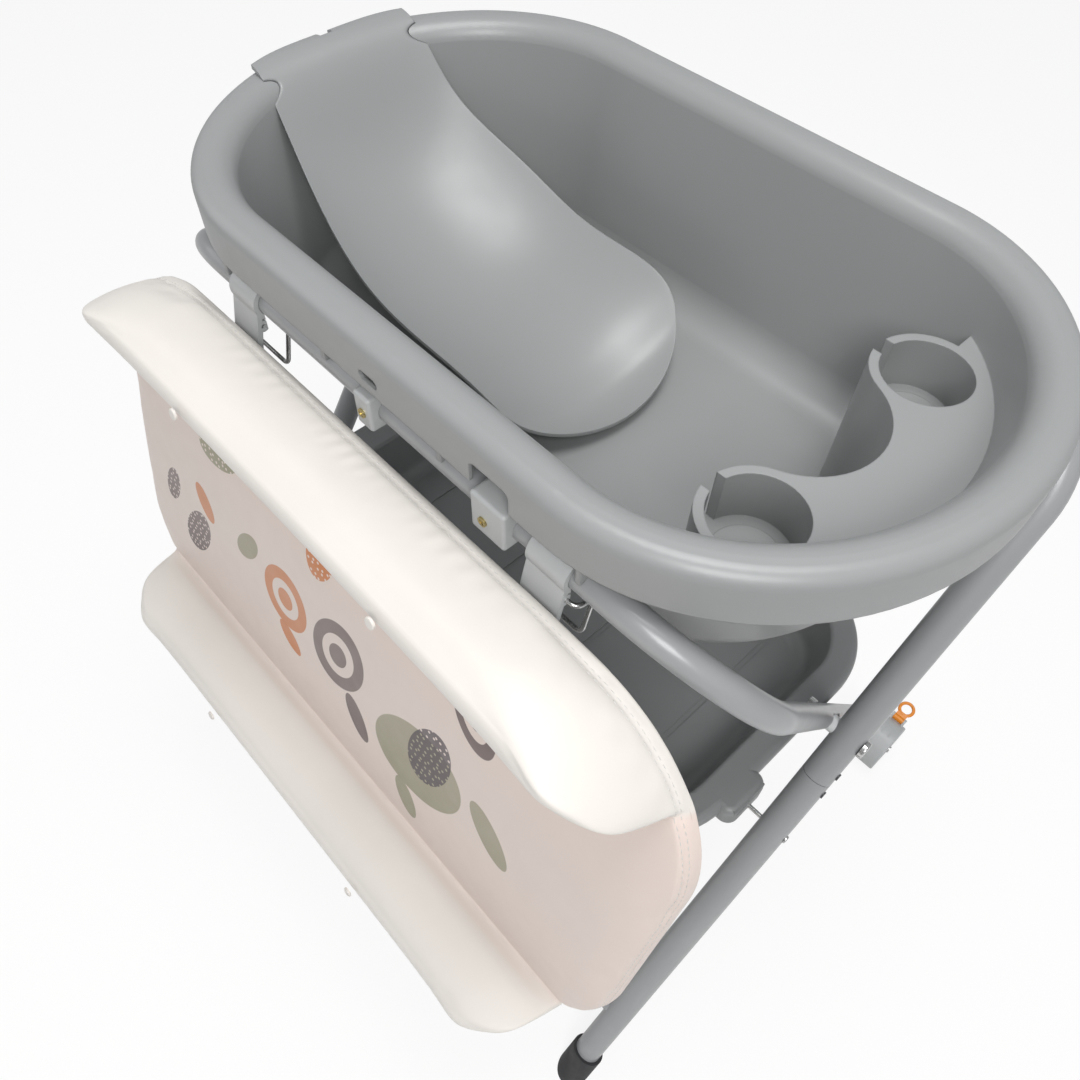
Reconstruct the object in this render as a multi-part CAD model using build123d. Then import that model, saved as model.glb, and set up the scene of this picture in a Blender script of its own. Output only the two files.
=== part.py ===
from build123d import *
import math
import os

# Millimetres, +Z up, the floor at z = 0, +X towards the foot end, -Y towards the side where the mat hangs.
# The sub-parts are modelled about the middle of the bathtub and moved together at the end.

# Bathtub
rim_height = 870
tub_half_length = 391
tub_half_width = 235
tub_end_depth = 206
rim_width = 35
rim_outer_radius = 12
rim_inner_radius = 20
skirt_drop = 47
skirt_wall = 3.5
tub_wall = 4
tub_depth = 200
basin_draw_in = 34
tub_floor_radius = 38
tub_rib_thickness = 5
tub_rib_spacing = 143
slot_length = 22
slot_width = 9
slot_drop = 34
notch_x = 133
notch_length = 40
notch_rise = 21
notch_radius = 6
cut_overrun = 10

# Organiser moulded into the foot end
organiser_drop = 56
organiser_front_x = 262
cup_spacing = 208
cup_radius = 37
cup_wall = 8
cup_depth = 48
cup_gap = 17
cup_disc_radius = 27
cup_disc_height = 1.5
bay_x = 220

# Drain and its plug
drain_x = 226
drain_y = -26
drain_radius = 13
plug_rim_radius = 19
plug_rim_thickness = 3
plug_clearance = 0.3
plug_stem_length = 9
plug_knob_radius = 5
plug_knob_height = 9
plug_edge_radius = 1

# Seat insert
seat_head_inset = 7
seat_length = 445
seat_rim_inset = 6
seat_top_above_rim = 4.8
seat_drop = 189
seat_half_width = 119
seat_sag = 40
seat_thickness = 4
seat_end_depth = 95
seat_edge_radius = 1.4
seat_notch_width = 14
seat_notch_depth = 9

# Outer and inner frames
outer_tube_radius = 16
inner_tube_radius = 12.5
tube_wall = 1.8
outer_leg_x = 381
inner_leg_x = 351
pivot_height = 484
foot_spread = 338
outer_top_drop = 70
inner_top_drop = 75
outer_bend_radius = 115
inner_bend_radius = 120
swage_below_pivot = 54
swage_length = 24
swage_clearance = 0.1
joint_line = 0.6
rivet_radius = 2.6
rivet_head_radius = 4
rivet_head_height = 1.4
rivet_from_joint = 13
flat_length = 56
flat_depth = 5.5

# Pivot
pivot_bolt_radius = 4
pivot_head_radius = 9.5
pivot_head_height = 5
pivot_spacer_radius = 9
pivot_clearance = 0.05
pivot_nut_radius = 8
pivot_nut_height = 7
pivot_edge_radius = 1.5

# Rubber feet on the outer frame
foot_wall = 4
foot_length = 36
foot_seat = 8

# Crossbar low on the outer frame
crossbar_radius = 11
crossbar_height = 96

# Wheels at the bottom of the inner frame
wheel_radius = 34
wheel_width = 22
wheel_outset = 10
wheel_setback = 24
wheel_edge_radius = 5
wheel_web_depth = 5
wheel_rim = 8
hub_radius = 9
axle_radius = 3.5
axle_clearance = 0.08
axle_head_radius = 5.5
axle_head_height = 2
housing_wall = 3
housing_gap = 3
housing_skirt_share = 0.25
housing_groove_width = 2
housing_groove_depth = 1
socket_length = 62
socket_wall = 3.5
socket_edge_radius = 2

# Brake levers
lever_place_deg = 38
lever_rise_deg = 12
lever_pin_radius = 3
lever_barrel_radius = 4.8
lever_width = 16
lever_thickness = 4
lever_length = 12
loop_outer_radius = 10
loop_wire_radius = 2.4
lever_clearance = 0.3

# Storage tray
tray_height = 390
tray_half_length = 334
tray_half_width = 210
tray_corner_radius = 110
tray_lip_width = 30
tray_lip_drop = 14
tray_lip_radius = 9
tray_depth = 75
tray_draw_in = 16
tray_wall = 3
tray_floor_radius = 22
tray_groove_spacing = 150
tray_groove_width = 7
tray_groove_depth = 1.5
tab_reach = 15
tab_length = 62
tab_drop = 27
tab_radius = 14
tray_pin_radius = 2.5
tray_pin_clearance = 0.05
tray_pin_inside = 16
tray_pin_head_radius = 4.5
tray_pin_head_height = 2
seat_gap = 0.3

# Clips on the near top tube, under the rim
clip_length = 36
clip_wall = 8
clip_below = 16
clip_above = 23
clip_inner_reach = 5
clip_edge_radius = 3
latch_x = -12
latch_length = 20
latch_below_skirt = 10
screw_head_radius = 4.2
screw_head_height = 1.6
screw_radius = 1.9
screw_length = 14
cross_width = 1.1
cross_depth = 0.9
screw_x = 129
tube_grip_clearance = 0.05

# Hinge clips under the far rim
hinge_clip_share = 0.81
hinge_clip_length = 34
hinge_clip_wall = 5
hinge_clearance = 0.3

# Changing mat
mat_tilt_deg = 13.2
mat_hang_out = 94.3
mat_hang_drop = 248.3
mat_half_length = 386
mat_half_width = 232
mat_corner_radius = 135
mat_thickness = 17
mat_crown = 5
mat_end_height = 5
bolster_height = 81
bolster_crest_offset = 214
bolster_valley_offset = 180
bolster_crest_half_length = 296
bolster_side_bulge = 5
bolster_crest_radius = 11
bolster_shoulder_deg = 20
board_thickness = 4
board_inset = 12
tuft_x = 130
tuft_radius = 5
tuft_height = 2.2
tuft_dimple_radius = 13
tuft_dimple_depth = 3
tuft_clearance = 0.1

# Saddles that hang the mat on the near top tube
saddle_x = 188
saddle_length = 38
saddle_wall = 4.5
saddle_grip_clearance = 0.3
saddle_mouth_share = 1.5
saddle_strap_length = 52
saddle_strap_thickness = 5
saddle_screw_radius = 3.2
saddle_screw_height = 1.5
saddle_screw_spacing = 20

# Wire bails beside the saddles
bail_wire_radius = 2
bail_reach = 18
bail_drop = 40
bail_bend_radius = 7
bail_boss_radius = 5.5
bail_clearance = 0.08

# What follows from these
leg_lean = math.atan2(foot_spread, pivot_height)
leg_lean_deg = math.degrees(leg_lean)
outer_top_height = rim_height - outer_top_drop
inner_top_height = rim_height - inner_top_drop
outer_top_along = (outer_top_height - pivot_height) / math.cos(leg_lean)
inner_top_along = (inner_top_height - pivot_height) / math.cos(leg_lean)
floor_along = pivot_height / math.cos(leg_lean)
outer_top_y = outer_top_along * math.sin(leg_lean)
inner_top_y = -inner_top_along * math.sin(leg_lean)
rim_underside = rim_height - tub_wall
skirt_foot = rim_height - skirt_drop
tub_floor = rim_height - tub_depth
seat_head_x = -(tub_half_length - seat_head_inset)
cup_y = cup_spacing / 2
ring_radius = cup_radius + cup_wall
bay_radius = math.hypot(organiser_front_x - bay_x, cup_y) - ring_radius
organiser_top = rim_height - organiser_drop
cup_floor = organiser_top - cup_depth
tray_pin_height = tray_height - tray_lip_drop - tray_pin_radius - seat_gap
tray_pin_y = (pivot_height - tray_pin_height) * math.tan(leg_lean)
mat_tilt = math.radians(mat_tilt_deg)
mat_centre_y = inner_top_y - mat_hang_out
mat_centre_z = inner_top_height - mat_hang_drop
tube_along_mat = mat_hang_out * math.sin(mat_tilt) + mat_hang_drop * math.cos(mat_tilt)
tube_off_mat = mat_hang_drop * math.sin(mat_tilt) - mat_hang_out * math.cos(mat_tilt)
latch_above = skirt_foot - inner_top_height - latch_below_skirt
hinge_clip_x = (tub_half_length - tub_end_depth) * hinge_clip_share
wheel_x = outer_leg_x + wheel_outset
wheel_y = (pivot_height - wheel_radius) * math.tan(leg_lean) - wheel_setback
housing_radius = wheel_radius + housing_gap + housing_wall
housing_half = wheel_width / 2 + housing_gap + housing_wall
lever_pivot_reach = housing_radius + lever_barrel_radius + lever_clearance
lever_pivot_y = wheel_y + lever_pivot_reach * math.cos(math.radians(lever_place_deg))
lever_pivot_z = wheel_radius + lever_pivot_reach * math.sin(math.radians(lever_place_deg))

# Bathtub


def tub_outline(inset, height):
    """The tub's plan, two half ellipses joined by straight sides, drawn in by an inset."""
    straight = tub_half_length - tub_end_depth
    end_depth = tub_end_depth - inset
    half_width = tub_half_width - inset
    foot_end = EllipticalCenterArc((straight, 0), end_depth, half_width, start_angle=-90, arc_size=180)
    head_end = EllipticalCenterArc((-straight, 0), end_depth, half_width, start_angle=90, arc_size=180)
    far_side = Line(foot_end @ 1, head_end @ 0)
    near_side = Line(head_end @ 1, foot_end @ 0)
    return Pos(0, 0, height) * make_face([foot_end, far_side, head_end, near_side])


def wall_inset(height):
    """How far the inner wall lies inside the rim's outline at a height."""
    return rim_width + (rim_height - height) * basin_draw_in / tub_depth


def tapered(low, high, outward):
    """A drafted block that follows the basin's inner wall, moved outward by a wall."""
    bottom = tub_outline(wall_inset(low) - outward, low)
    top = tub_outline(wall_inset(high) - outward, high)
    return loft([bottom, top])


def rounded_floor(solid, radius):
    return fillet(solid.edges().group_by(Axis.Z)[0], radius)


def basin_cavity():
    return rounded_floor(tapered(tub_floor, rim_height + cut_overrun, 0), tub_floor_radius)


def basin_outside():
    solid = tapered(tub_floor - tub_wall, rim_height - tub_wall / 2, tub_wall)
    return rounded_floor(solid, tub_floor_radius + tub_wall)


def under_rim_ring(outside):
    """The space inside the skirt, open downwards, that keeps the rim's wall even."""
    ring = extrude(tub_outline(skirt_wall, skirt_foot - cut_overrun), skirt_drop + cut_overrun - tub_wall)
    ring = fillet(ring.edges().group_by(Axis.Z)[-1], rim_outer_radius - skirt_wall)
    ring = ring - outside
    inner_edges = ring.faces().sort_by(Axis.Z)[-1].inner_wires()[0].edges()
    return fillet(inner_edges, rim_inner_radius - tub_wall)


def organiser_plan(shrink):
    """Plan of the organiser: two cup rings, the shelf behind them and the round bay between them."""
    shelf_length = tub_half_length - organiser_front_x - shrink
    shelf = Pos(tub_half_length - shelf_length / 2, 0) * Rectangle(shelf_length, tub_half_width * 2)
    corner_a = (organiser_front_x, cup_y)
    corner_b = (organiser_front_x, -cup_y)
    wedge = make_face(Polyline(corner_a, (bay_x, 0), corner_b, close=True))
    plan = shelf + wedge
    for side in (1, -1):
        plan += Pos(organiser_front_x, side * cup_y) * Circle(ring_radius - shrink)
    return plan - Pos(bay_x, 0) * Circle(bay_radius + shrink)


def upright(radius, x, y, low, high):
    return Pos(x, y, (low + high) / 2) * Cylinder(radius, high - low)


def organiser(cavity):
    block = Pos(0, 0, tub_floor - tub_wall / 2) * extrude(organiser_plan(0), organiser_top - tub_floor + tub_wall / 2)
    body = block & cavity
    gap_half = (ring_radius - cup_radius) * 2
    for side in (1, -1):
        y = side * cup_y
        body -= upright(cup_radius, organiser_front_x, y, cup_floor, rim_height)
        gap = Box(gap_half * 2, cup_gap, rim_height - cup_floor)
        gap = Pos(organiser_front_x - ring_radius, y, (rim_height + cup_floor) / 2) * gap
        body -= gap
        body += upright(cup_disc_radius, organiser_front_x, y, cup_floor - tub_wall / 2, cup_floor + cup_disc_height)
    return body


def organiser_pocket(cavity):
    """The hollow under the organiser, open through the tub's floor as a moulding is."""
    pocket = extrude(organiser_plan(tub_wall), organiser_top - tub_wall - tub_floor + cut_overrun)
    pocket = Pos(0, 0, tub_floor - cut_overrun) * pocket
    for side in (1, -1):
        y = side * cup_y
        pocket -= upright(ring_radius - tub_wall, organiser_front_x, y, cup_floor - tub_wall, rim_height)
        gap_block = Box(ring_radius, cup_gap + tub_wall * 2, rim_height - cup_floor)
        gap_z = (rim_height + cup_floor) / 2 - tub_wall
        pocket -= Pos(organiser_front_x - ring_radius, y, gap_z) * gap_block
    inside = pocket & cavity
    floor_inset = wall_inset(tub_floor) + tub_floor_radius
    opening = extrude(tub_outline(floor_inset, tub_floor - cut_overrun), cut_overrun + tub_wall)
    return inside + (pocket & opening)


def skirt_cuts(side):
    """The oval slot and the notch in the skirt on one long side."""
    slot = Rot(90, 0, 0) * extrude(SlotOverall(slot_length, slot_width), cut_overrun, both=True)
    slot = Pos(0, side * tub_half_width, rim_height - slot_drop) * slot
    notch_height = notch_rise + cut_overrun
    notch = extrude(RectangleRounded(notch_length, notch_height * 2, notch_radius), cut_overrun, both=True)
    notch = Pos(notch_x, side * tub_half_width, skirt_foot - cut_overrun - notch_height + notch_rise) * (
        Rot(90, 0, 0) * notch
    )
    return slot + Pos(0, 0, cut_overrun) * notch


def tube_ribs():
    """Ribs under the long rims that stand on the two top tubes."""
    ribs = []
    places = ((outer_top_y, outer_top_height, outer_tube_radius), (inner_top_y, inner_top_height, inner_tube_radius))
    for y, z, radius in places:
        side = math.copysign(1, y)
        foot = z + radius * math.cos(math.pi / 4)
        for x in (-tub_rib_spacing * 1.5, -tub_rib_spacing / 2, tub_rib_spacing / 2, tub_rib_spacing * 1.5):
            wall_y = tub_half_width - rim_width
            width = tub_half_width - skirt_wall / 2 - wall_y
            rib = Box(tub_rib_thickness, width, rim_underside + tub_wall / 2 - foot)
            rib = Pos(x, side * (wall_y + width / 2), (rim_underside + tub_wall / 2 + foot) / 2) * rib
            below = Box(tub_rib_thickness * 2, width * 2, skirt_foot - foot + cut_overrun)
            keep = side * (abs(y) + radius)
            below = Pos(x, keep + side * width, skirt_foot - (skirt_foot - foot + cut_overrun) / 2) * below
            ribs.append(rib - below - along_x(radius + seat_gap, x - tub_rib_thickness, x + tub_rib_thickness, y, z))
    return ribs


def along_x(radius, x_from, x_to, y, z):
    """A round bar along X."""
    return Pos((x_from + x_to) / 2, y, z) * Rot(0, 90, 0) * Cylinder(radius, abs(x_to - x_from))


def make_tub():
    cavity = basin_cavity()
    outside = basin_outside()
    rim = extrude(tub_outline(0, skirt_foot), skirt_drop)
    shell = rim + outside - cavity
    top = shell.faces().sort_by(Axis.Z)[-1]
    shell = fillet(top.outer_wire().edges(), rim_outer_radius)
    top = shell.faces().sort_by(Axis.Z)[-1]
    shell = fillet(top.inner_wires()[0].edges(), rim_inner_radius)
    inside_rim = Pos(0, 0, -tub_wall / 2) * shell
    inside_skirt = extrude(tub_outline(skirt_wall / 2, 0), rim_height)
    below_rim = extrude(tub_outline(0, 0), skirt_foot)
    shell = shell - under_rim_ring(outside)
    for side in (1, -1):
        shell -= skirt_cuts(side)
    for rib in tube_ribs():
        kept = (rib & inside_rim) + (rib & below_rim)
        shell += (kept & inside_skirt) - cavity
    shell = shell + organiser(cavity) - organiser_pocket(cavity)
    return shell - upright(drain_radius, drain_x, drain_y, tub_floor - tub_wall * 2, tub_floor + tub_wall)


def make_drain_plug():
    rim_low = tub_floor + plug_clearance
    plug = upright(plug_rim_radius, drain_x, drain_y, rim_low, rim_low + plug_rim_thickness)
    plug = fillet(plug.edges().group_by(Axis.Z)[-1], plug_edge_radius)
    stem_radius = drain_radius - plug_clearance
    plug += upright(stem_radius, drain_x, drain_y, rim_low - plug_stem_length, rim_low)
    knob_top = rim_low + plug_rim_thickness + plug_knob_height
    knob = upright(plug_knob_radius, drain_x, drain_y, rim_low, knob_top)
    return plug + fillet(knob.edges().group_by(Axis.Z)[-1], plug_edge_radius)


# Seat insert

# Along the insert, head first: share of its length, of its drop, of its half width and of its sag.
seat_section_shares = (
    (0, 0, 0.74, 0.0),
    (0.063, 0.025, 0.745, 0.06),
    (0.117, 0.19, 0.765, 0.3),
    (0.199, 0.475, 0.815, 0.65),
    (0.311, 0.68, 0.91, 0.9),
    (0.437, 0.825, 0.985, 1.0),
    (0.641, 0.92, 1.0, 1.0),
    (0.864, 0.985, 0.97, 0.95),
    (1.0, 1.0, 0.93, 0.9),
)


def seat_section(length_share, drop_share, width_share, sag_share):
    """A curved band across the insert, hollow side up."""
    x = seat_head_x + seat_length * length_share
    middle = rim_height + seat_top_above_rim - seat_drop * drop_share
    half = seat_half_width * width_share
    sag = seat_sag * sag_share + seat_edge_radius / 2
    top = ThreePointArc((x, -half, middle + sag), (x, 0, middle), (x, half, middle + sag))
    low = middle - seat_thickness
    bottom = ThreePointArc((x, half, low + sag), (x, 0, low), (x, -half, low + sag))
    right = Line(top @ 1, bottom @ 0)
    left = Line(bottom @ 1, top @ 0)
    return make_face([top, right, bottom, left])


def make_seat_insert(tub):
    body = loft([seat_section(*shares) for shares in seat_section_shares])
    foot_x = seat_head_x + seat_length
    straight_end = foot_x - seat_end_depth
    keep = Pos((straight_end + seat_head_x) / 2 - cut_overrun, 0) * Rectangle(
        straight_end - seat_head_x + cut_overrun * 2, seat_half_width * 3
    )
    keep += Pos(straight_end, 0) * Ellipse(seat_end_depth, seat_half_width * 1.06)
    keep = keep & tub_outline(seat_rim_inset, 0)
    keep = Pos(0, 0, tub_floor) * extrude(keep, rim_height - tub_floor + cut_overrun)
    notch = Box(seat_notch_depth * 2, seat_notch_width, cut_overrun * 3)
    body = (body & keep) - Pos(seat_head_x, 0, rim_height) * notch
    return (body - Pos(0, 0, seat_gap) * tub).solids().sort_by(SortBy.VOLUME)[-1]


# Frames


def leaned(solid, side):
    """Turns what is built upright about the pivot into a leg's plane; side 1 leans to the far side at the top."""
    return Pos(0, 0, pivot_height) * Rot(-side * leg_lean_deg, 0, 0) * solid


def bar_along_leg(radius, x, low, high):
    """A round bar along an upright leg, measured from the pivot."""
    return Pos(x, 0, (low + high) / 2) * Cylinder(radius, high - low)


def u_tube(radius, leg_x, top, low, bend):
    """A hollow tube bent to an upside-down U, its legs ending at low."""
    path = FilletPolyline((-leg_x, 0, low), (-leg_x, 0, top), (leg_x, 0, top), (leg_x, 0, low), radius=bend)
    start = Plane(origin=(-leg_x, 0, low), z_dir=(0, 0, 1))
    outer = sweep(start * Circle(radius), path=path)
    inner = sweep(start * Circle(radius - tube_wall), path=path)
    return outer - inner


def pivot_hole(leg_x, reach):
    return along_x(pivot_bolt_radius + pivot_clearance, leg_x - reach, leg_x + reach, 0, 0)


def rivet_holes(leg_x, side, joint):
    """The two cross holes at a swaged joint on one leg, one above and one below the joint line."""
    holes = None
    for step in (1, -1):
        z = joint + step * rivet_from_joint
        hole = along_x(rivet_radius, side * leg_x, side * (leg_x + outer_tube_radius * 2), 0, z)
        holes = hole if holes is None else holes + hole
    return holes


def make_outer_upper():
    low = -swage_below_pivot + joint_line / 2
    tube = u_tube(outer_tube_radius, outer_leg_x, outer_top_along, low, outer_bend_radius)
    for side in (1, -1):
        tube -= pivot_hole(side * outer_leg_x, outer_tube_radius * 2)
        tube -= rivet_holes(outer_leg_x, side, -swage_below_pivot)
    return leaned(tube, 1)


def lower_leg(radius, leg_x, side, low):
    """A straight lower leg whose drawn-in top goes up inside the upper tube."""
    high = -swage_below_pivot - joint_line / 2
    leg = bar_along_leg(radius, side * leg_x, low, high)
    neck = radius - tube_wall - swage_clearance
    leg += bar_along_leg(neck, side * leg_x, high - tube_wall, high + swage_length)
    leg -= bar_along_leg(neck - tube_wall, side * leg_x, low - cut_overrun, high + swage_length + cut_overrun)
    return leg - rivet_holes(leg_x, side, -swage_below_pivot)


def outer_foot_low():
    return -floor_along + foot_seat + outer_tube_radius * math.tan(leg_lean)


def make_outer_leg(side):
    leg = lower_leg(outer_tube_radius, outer_leg_x, side, outer_foot_low())
    leg = leaned(leg, 1)
    hole_from = side * (outer_leg_x - outer_tube_radius * 2)
    hole_to = side * (outer_leg_x + outer_tube_radius * 2)
    hole_radius = tray_pin_radius + tray_pin_clearance
    return leg - along_x(hole_radius, hole_from, hole_to, -tray_pin_y, tray_pin_height)


def make_inner_upper():
    low = -swage_below_pivot + joint_line / 2
    tube = u_tube(inner_tube_radius, inner_leg_x, inner_top_along, low, inner_bend_radius)
    flat = Box(flat_depth, inner_tube_radius * 3, flat_length)
    for side in (1, -1):
        flat_x = side * (inner_leg_x + inner_tube_radius - flat_depth / 2 + joint_line)
        land_x = flat_x - side * flat_depth / 2
        plate = Box(tube_wall, inner_tube_radius * 1.6, flat_length + tube_wall)
        plate = Pos(land_x - side * tube_wall / 2, 0, 0) * plate
        tube -= Pos(flat_x, 0, 0) * flat
        tube += plate & bar_along_leg(inner_tube_radius, side * inner_leg_x, -flat_length, flat_length)
        tube -= pivot_hole(side * inner_leg_x, inner_tube_radius * 2)
        tube -= rivet_holes(inner_leg_x, side, -swage_below_pivot)
    tube = leaned(tube, -1)
    for x in (screw_x, latch_x):
        tube -= clip_screw_bore(x)
    return tube


def inner_leg_low():
    return -floor_along + (wheel_radius + housing_gap * 2) / math.cos(leg_lean)


def make_inner_leg(side):
    leg = lower_leg(inner_tube_radius, inner_leg_x, side, inner_leg_low())
    leg = leaned(leg, -1)
    pin_end = side * (inner_leg_x - inner_tube_radius * 2)
    hole_radius = tray_pin_radius + tray_pin_clearance
    return leg - along_x(hole_radius, pin_end, side * inner_leg_x, tray_pin_y, tray_pin_height)


def leg_rivets(radius, leg_x, lean_side):
    """Round-headed rivets beside each swaged joint, seen from outside."""
    rivets = []
    for side in (1, -1):
        for step in (1, -1):
            z = -swage_below_pivot + step * rivet_from_joint
            face = leg_x + radius
            shank_from = side * (face - tube_wall * 2.5)
            shank_to = side * (face + rivet_head_height / 2)
            rivet = along_x(rivet_radius - swage_clearance, shank_from, shank_to, 0, z)
            head = along_x(rivet_head_radius, side * (face - tube_wall / 2), side * (face + rivet_head_height), 0, z)
            head -= bar_along_leg(radius + swage_clearance, side * leg_x, z - radius, z + radius)
            rivets.append(leaned(rivet + head, lean_side))
    return Compound(children=rivets)


# Pivot


def inner_land_x():
    """Where the flattened inner leg faces the outer leg."""
    return inner_leg_x + inner_tube_radius - flat_depth + joint_line


def make_pivot_bolts():
    bolts = []
    for side in (1, -1):
        head_from = outer_leg_x + outer_tube_radius
        shank_to = inner_leg_x - inner_tube_radius - pivot_nut_height
        shank = along_x(pivot_bolt_radius, side * shank_to, side * head_from, 0, pivot_height)
        head = along_x(pivot_head_radius, side * head_from, side * (head_from + pivot_head_height), 0, pivot_height)
        outer_edge = head.edges().sort_by(Axis.X)[-1 if side > 0 else 0]
        bolts.append(shank + fillet(outer_edge, pivot_edge_radius))
    return Compound(children=bolts)


def make_pivot_spacers():
    spacers = []
    for side in (1, -1):
        near = inner_land_x() + pivot_clearance
        far = outer_leg_x - outer_tube_radius
        ring = along_x(pivot_spacer_radius, side * near, side * (far + flat_depth), 0, pivot_height)
        ring -= along_x(pivot_bolt_radius + pivot_clearance, side * near, side * (far + flat_depth), 0, pivot_height)
        leg = bar_along_leg(outer_tube_radius + pivot_clearance, side * outer_leg_x, -outer_leg_x, outer_leg_x)
        spacers.append((ring - leaned(leg, 1)).solids().sort_by(Axis.X)[0 if side > 0 else -1])
    return Compound(children=spacers)


def make_pivot_nuts():
    nuts = []
    for side in (1, -1):
        face = inner_leg_x - inner_tube_radius - pivot_clearance
        nut = along_x(pivot_nut_radius, side * (face - pivot_nut_height), side * face, 0, pivot_height)
        nuts.append(nut - along_x(pivot_bolt_radius, side * (face - pivot_nut_height), side * face, 0, pivot_height))
    return Compound(children=nuts)


# Rubber feet and crossbar


def make_foot(side):
    """A rubber boot on a leaning leg, cut level with the floor."""
    boot = bar_along_leg(outer_tube_radius + foot_wall, side * outer_leg_x, -floor_along - foot_length, 0)
    collar_top = -floor_along + foot_length
    above = bar_along_leg(outer_leg_x, side * outer_leg_x, collar_top, outer_leg_x)
    boot -= above
    boot -= bar_along_leg(outer_tube_radius, side * outer_leg_x, outer_foot_low(), collar_top + cut_overrun)
    boot = leaned(boot, 1)
    block = Pos(0, 0, outer_leg_x) * Box(outer_leg_x * 4, foot_spread * 4, outer_leg_x * 2)
    return boot & block


def crossbar_y():
    return -(pivot_height - crossbar_height) * math.tan(leg_lean)


def make_crossbar():
    reach = outer_leg_x
    bar = along_x(crossbar_radius, -reach, reach, crossbar_y(), crossbar_height)
    bar -= along_x(crossbar_radius - tube_wall, -reach, reach, crossbar_y(), crossbar_height)
    for side in (1, -1):
        leg = bar_along_leg(outer_tube_radius, side * outer_leg_x, -floor_along, 0)
        bar -= leaned(leg, 1)
    return bar.solids().sort_by(SortBy.VOLUME)[-1]


# Wheels


def make_wheel(side):
    half = wheel_width / 2
    x = side * wheel_x
    wheel = along_x(wheel_radius, x - half, x + half, wheel_y, wheel_radius)
    wheel = fillet(wheel.edges().filter_by(GeomType.CIRCLE), wheel_edge_radius)
    for face in (1, -1):
        near = x + face * (half - wheel_web_depth)
        far = x + face * (half + wheel_web_depth)
        groove = along_x(wheel_radius - wheel_rim, near, far, wheel_y, wheel_radius)
        wheel -= groove - along_x(hub_radius, near, far, wheel_y, wheel_radius)
        wheel += along_x(hub_radius, x, x + face * (half + housing_gap / 2), wheel_y, wheel_radius)
    reach = half + housing_gap
    return wheel - along_x(axle_radius + axle_clearance, x - reach, x + reach, wheel_y, wheel_radius)


def make_wheel_housing(side):
    """A cover over the top of the wheel, with the socket that takes the inner leg."""
    x = side * wheel_x
    shell = along_x(housing_radius, x - housing_half, x + housing_half, wheel_y, wheel_radius)
    shell = fillet(shell.edges().filter_by(GeomType.CIRCLE), socket_edge_radius)
    inner_half = housing_half - housing_wall
    shell -= along_x(housing_radius - housing_wall, x - inner_half, x + inner_half, wheel_y, wheel_radius)
    low = wheel_radius * housing_skirt_share
    below = Box(housing_radius * 3, housing_radius * 3, housing_radius)
    shell -= Pos(x, wheel_y, low - housing_radius / 2) * below
    for step in (1, -1):
        groove = Box(housing_groove_width, housing_radius, housing_groove_depth * 2)
        shell -= Pos(x + step * wheel_width / 4, wheel_y, wheel_radius + housing_radius) * groove
    socket_low = inner_leg_low() - socket_wall
    outer = bar_along_leg(inner_tube_radius + socket_wall, side * inner_leg_x, socket_low, socket_low + socket_length)
    bridge_length = wheel_x - housing_half + housing_wall - inner_leg_x
    bridge = Box(bridge_length, inner_tube_radius * 2, socket_length * 0.6)
    bridge = Pos(side * (inner_leg_x + bridge_length / 2), 0, socket_low + socket_length * 0.3) * bridge
    mount = leaned(outer + bridge, -1)
    mount -= along_x(housing_radius - housing_wall, x - inner_half, x + inner_half, wheel_y, wheel_radius)
    block = Pos(0, 0, low + outer_leg_x) * Box(outer_leg_x * 4, foot_spread * 4, outer_leg_x * 2)
    housing = shell + (mount & block)
    bore = bar_along_leg(inner_tube_radius, side * inner_leg_x, inner_leg_low(), floor_along)
    housing -= leaned(bore, -1)
    housing -= along_x(axle_radius, x - outer_leg_x, x + outer_leg_x, wheel_y, wheel_radius)
    for step in (1, -1):
        ear_x = x + step * (lever_width / 2 + lever_clearance + housing_wall / 2)
        housing += lever_ear(ear_x)
    return housing


def lever_ear(x):
    """One ear of the brake lever's hinge at the back of the housing."""
    half = housing_wall / 2
    ear = along_x(lever_barrel_radius + lever_clearance * 2, x - half, x + half, lever_pivot_y, lever_pivot_z)
    arm = Pos(x, lever_pivot_reach / 2, 0) * Box(housing_wall, lever_pivot_reach, lever_pin_radius * 4)
    arm = Pos(0, wheel_y, wheel_radius) * Rot(lever_place_deg, 0, 0) * arm
    ear += arm - along_x(housing_radius - housing_wall, x - half * 2, x + half * 2, wheel_y, wheel_radius)
    return ear - along_x(lever_pin_radius, x - half, x + half, lever_pivot_y, lever_pivot_z)


def make_axle(side):
    x = side * wheel_x
    reach = housing_half
    axle = along_x(axle_radius, x - reach, x + reach, wheel_y, wheel_radius)
    outside = x + side * reach
    return axle + along_x(axle_head_radius, outside, outside + side * axle_head_height, wheel_y, wheel_radius)


def make_brake_lever(side):
    x = side * wheel_x
    half = lever_width / 2
    y = lever_pivot_y
    z = lever_pivot_z
    lever = along_x(lever_barrel_radius, x - half, x + half, y, z)
    pin_reach = half + lever_clearance + housing_wall
    lever += along_x(lever_pin_radius - axle_clearance, x - pin_reach, x + pin_reach, y, z)
    plate = Pos(x, y + lever_length / 2, z) * Box(lever_width, lever_length, lever_thickness)
    loop = Pos(x, y + lever_length + loop_outer_radius - loop_wire_radius, z) * Torus(
        loop_outer_radius, loop_wire_radius
    )
    tilted = Pos(0, y, z) * Rot(lever_rise_deg, 0, 0) * Pos(0, -y, -z) * (plate + loop)
    return lever + tilted


# Storage tray


def tray_outline(inset, height):
    corner = tray_corner_radius - inset
    plan = RectangleRounded((tray_half_length - inset) * 2, (tray_half_width - inset) * 2, corner)
    return Pos(0, 0, height) * plan


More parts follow.
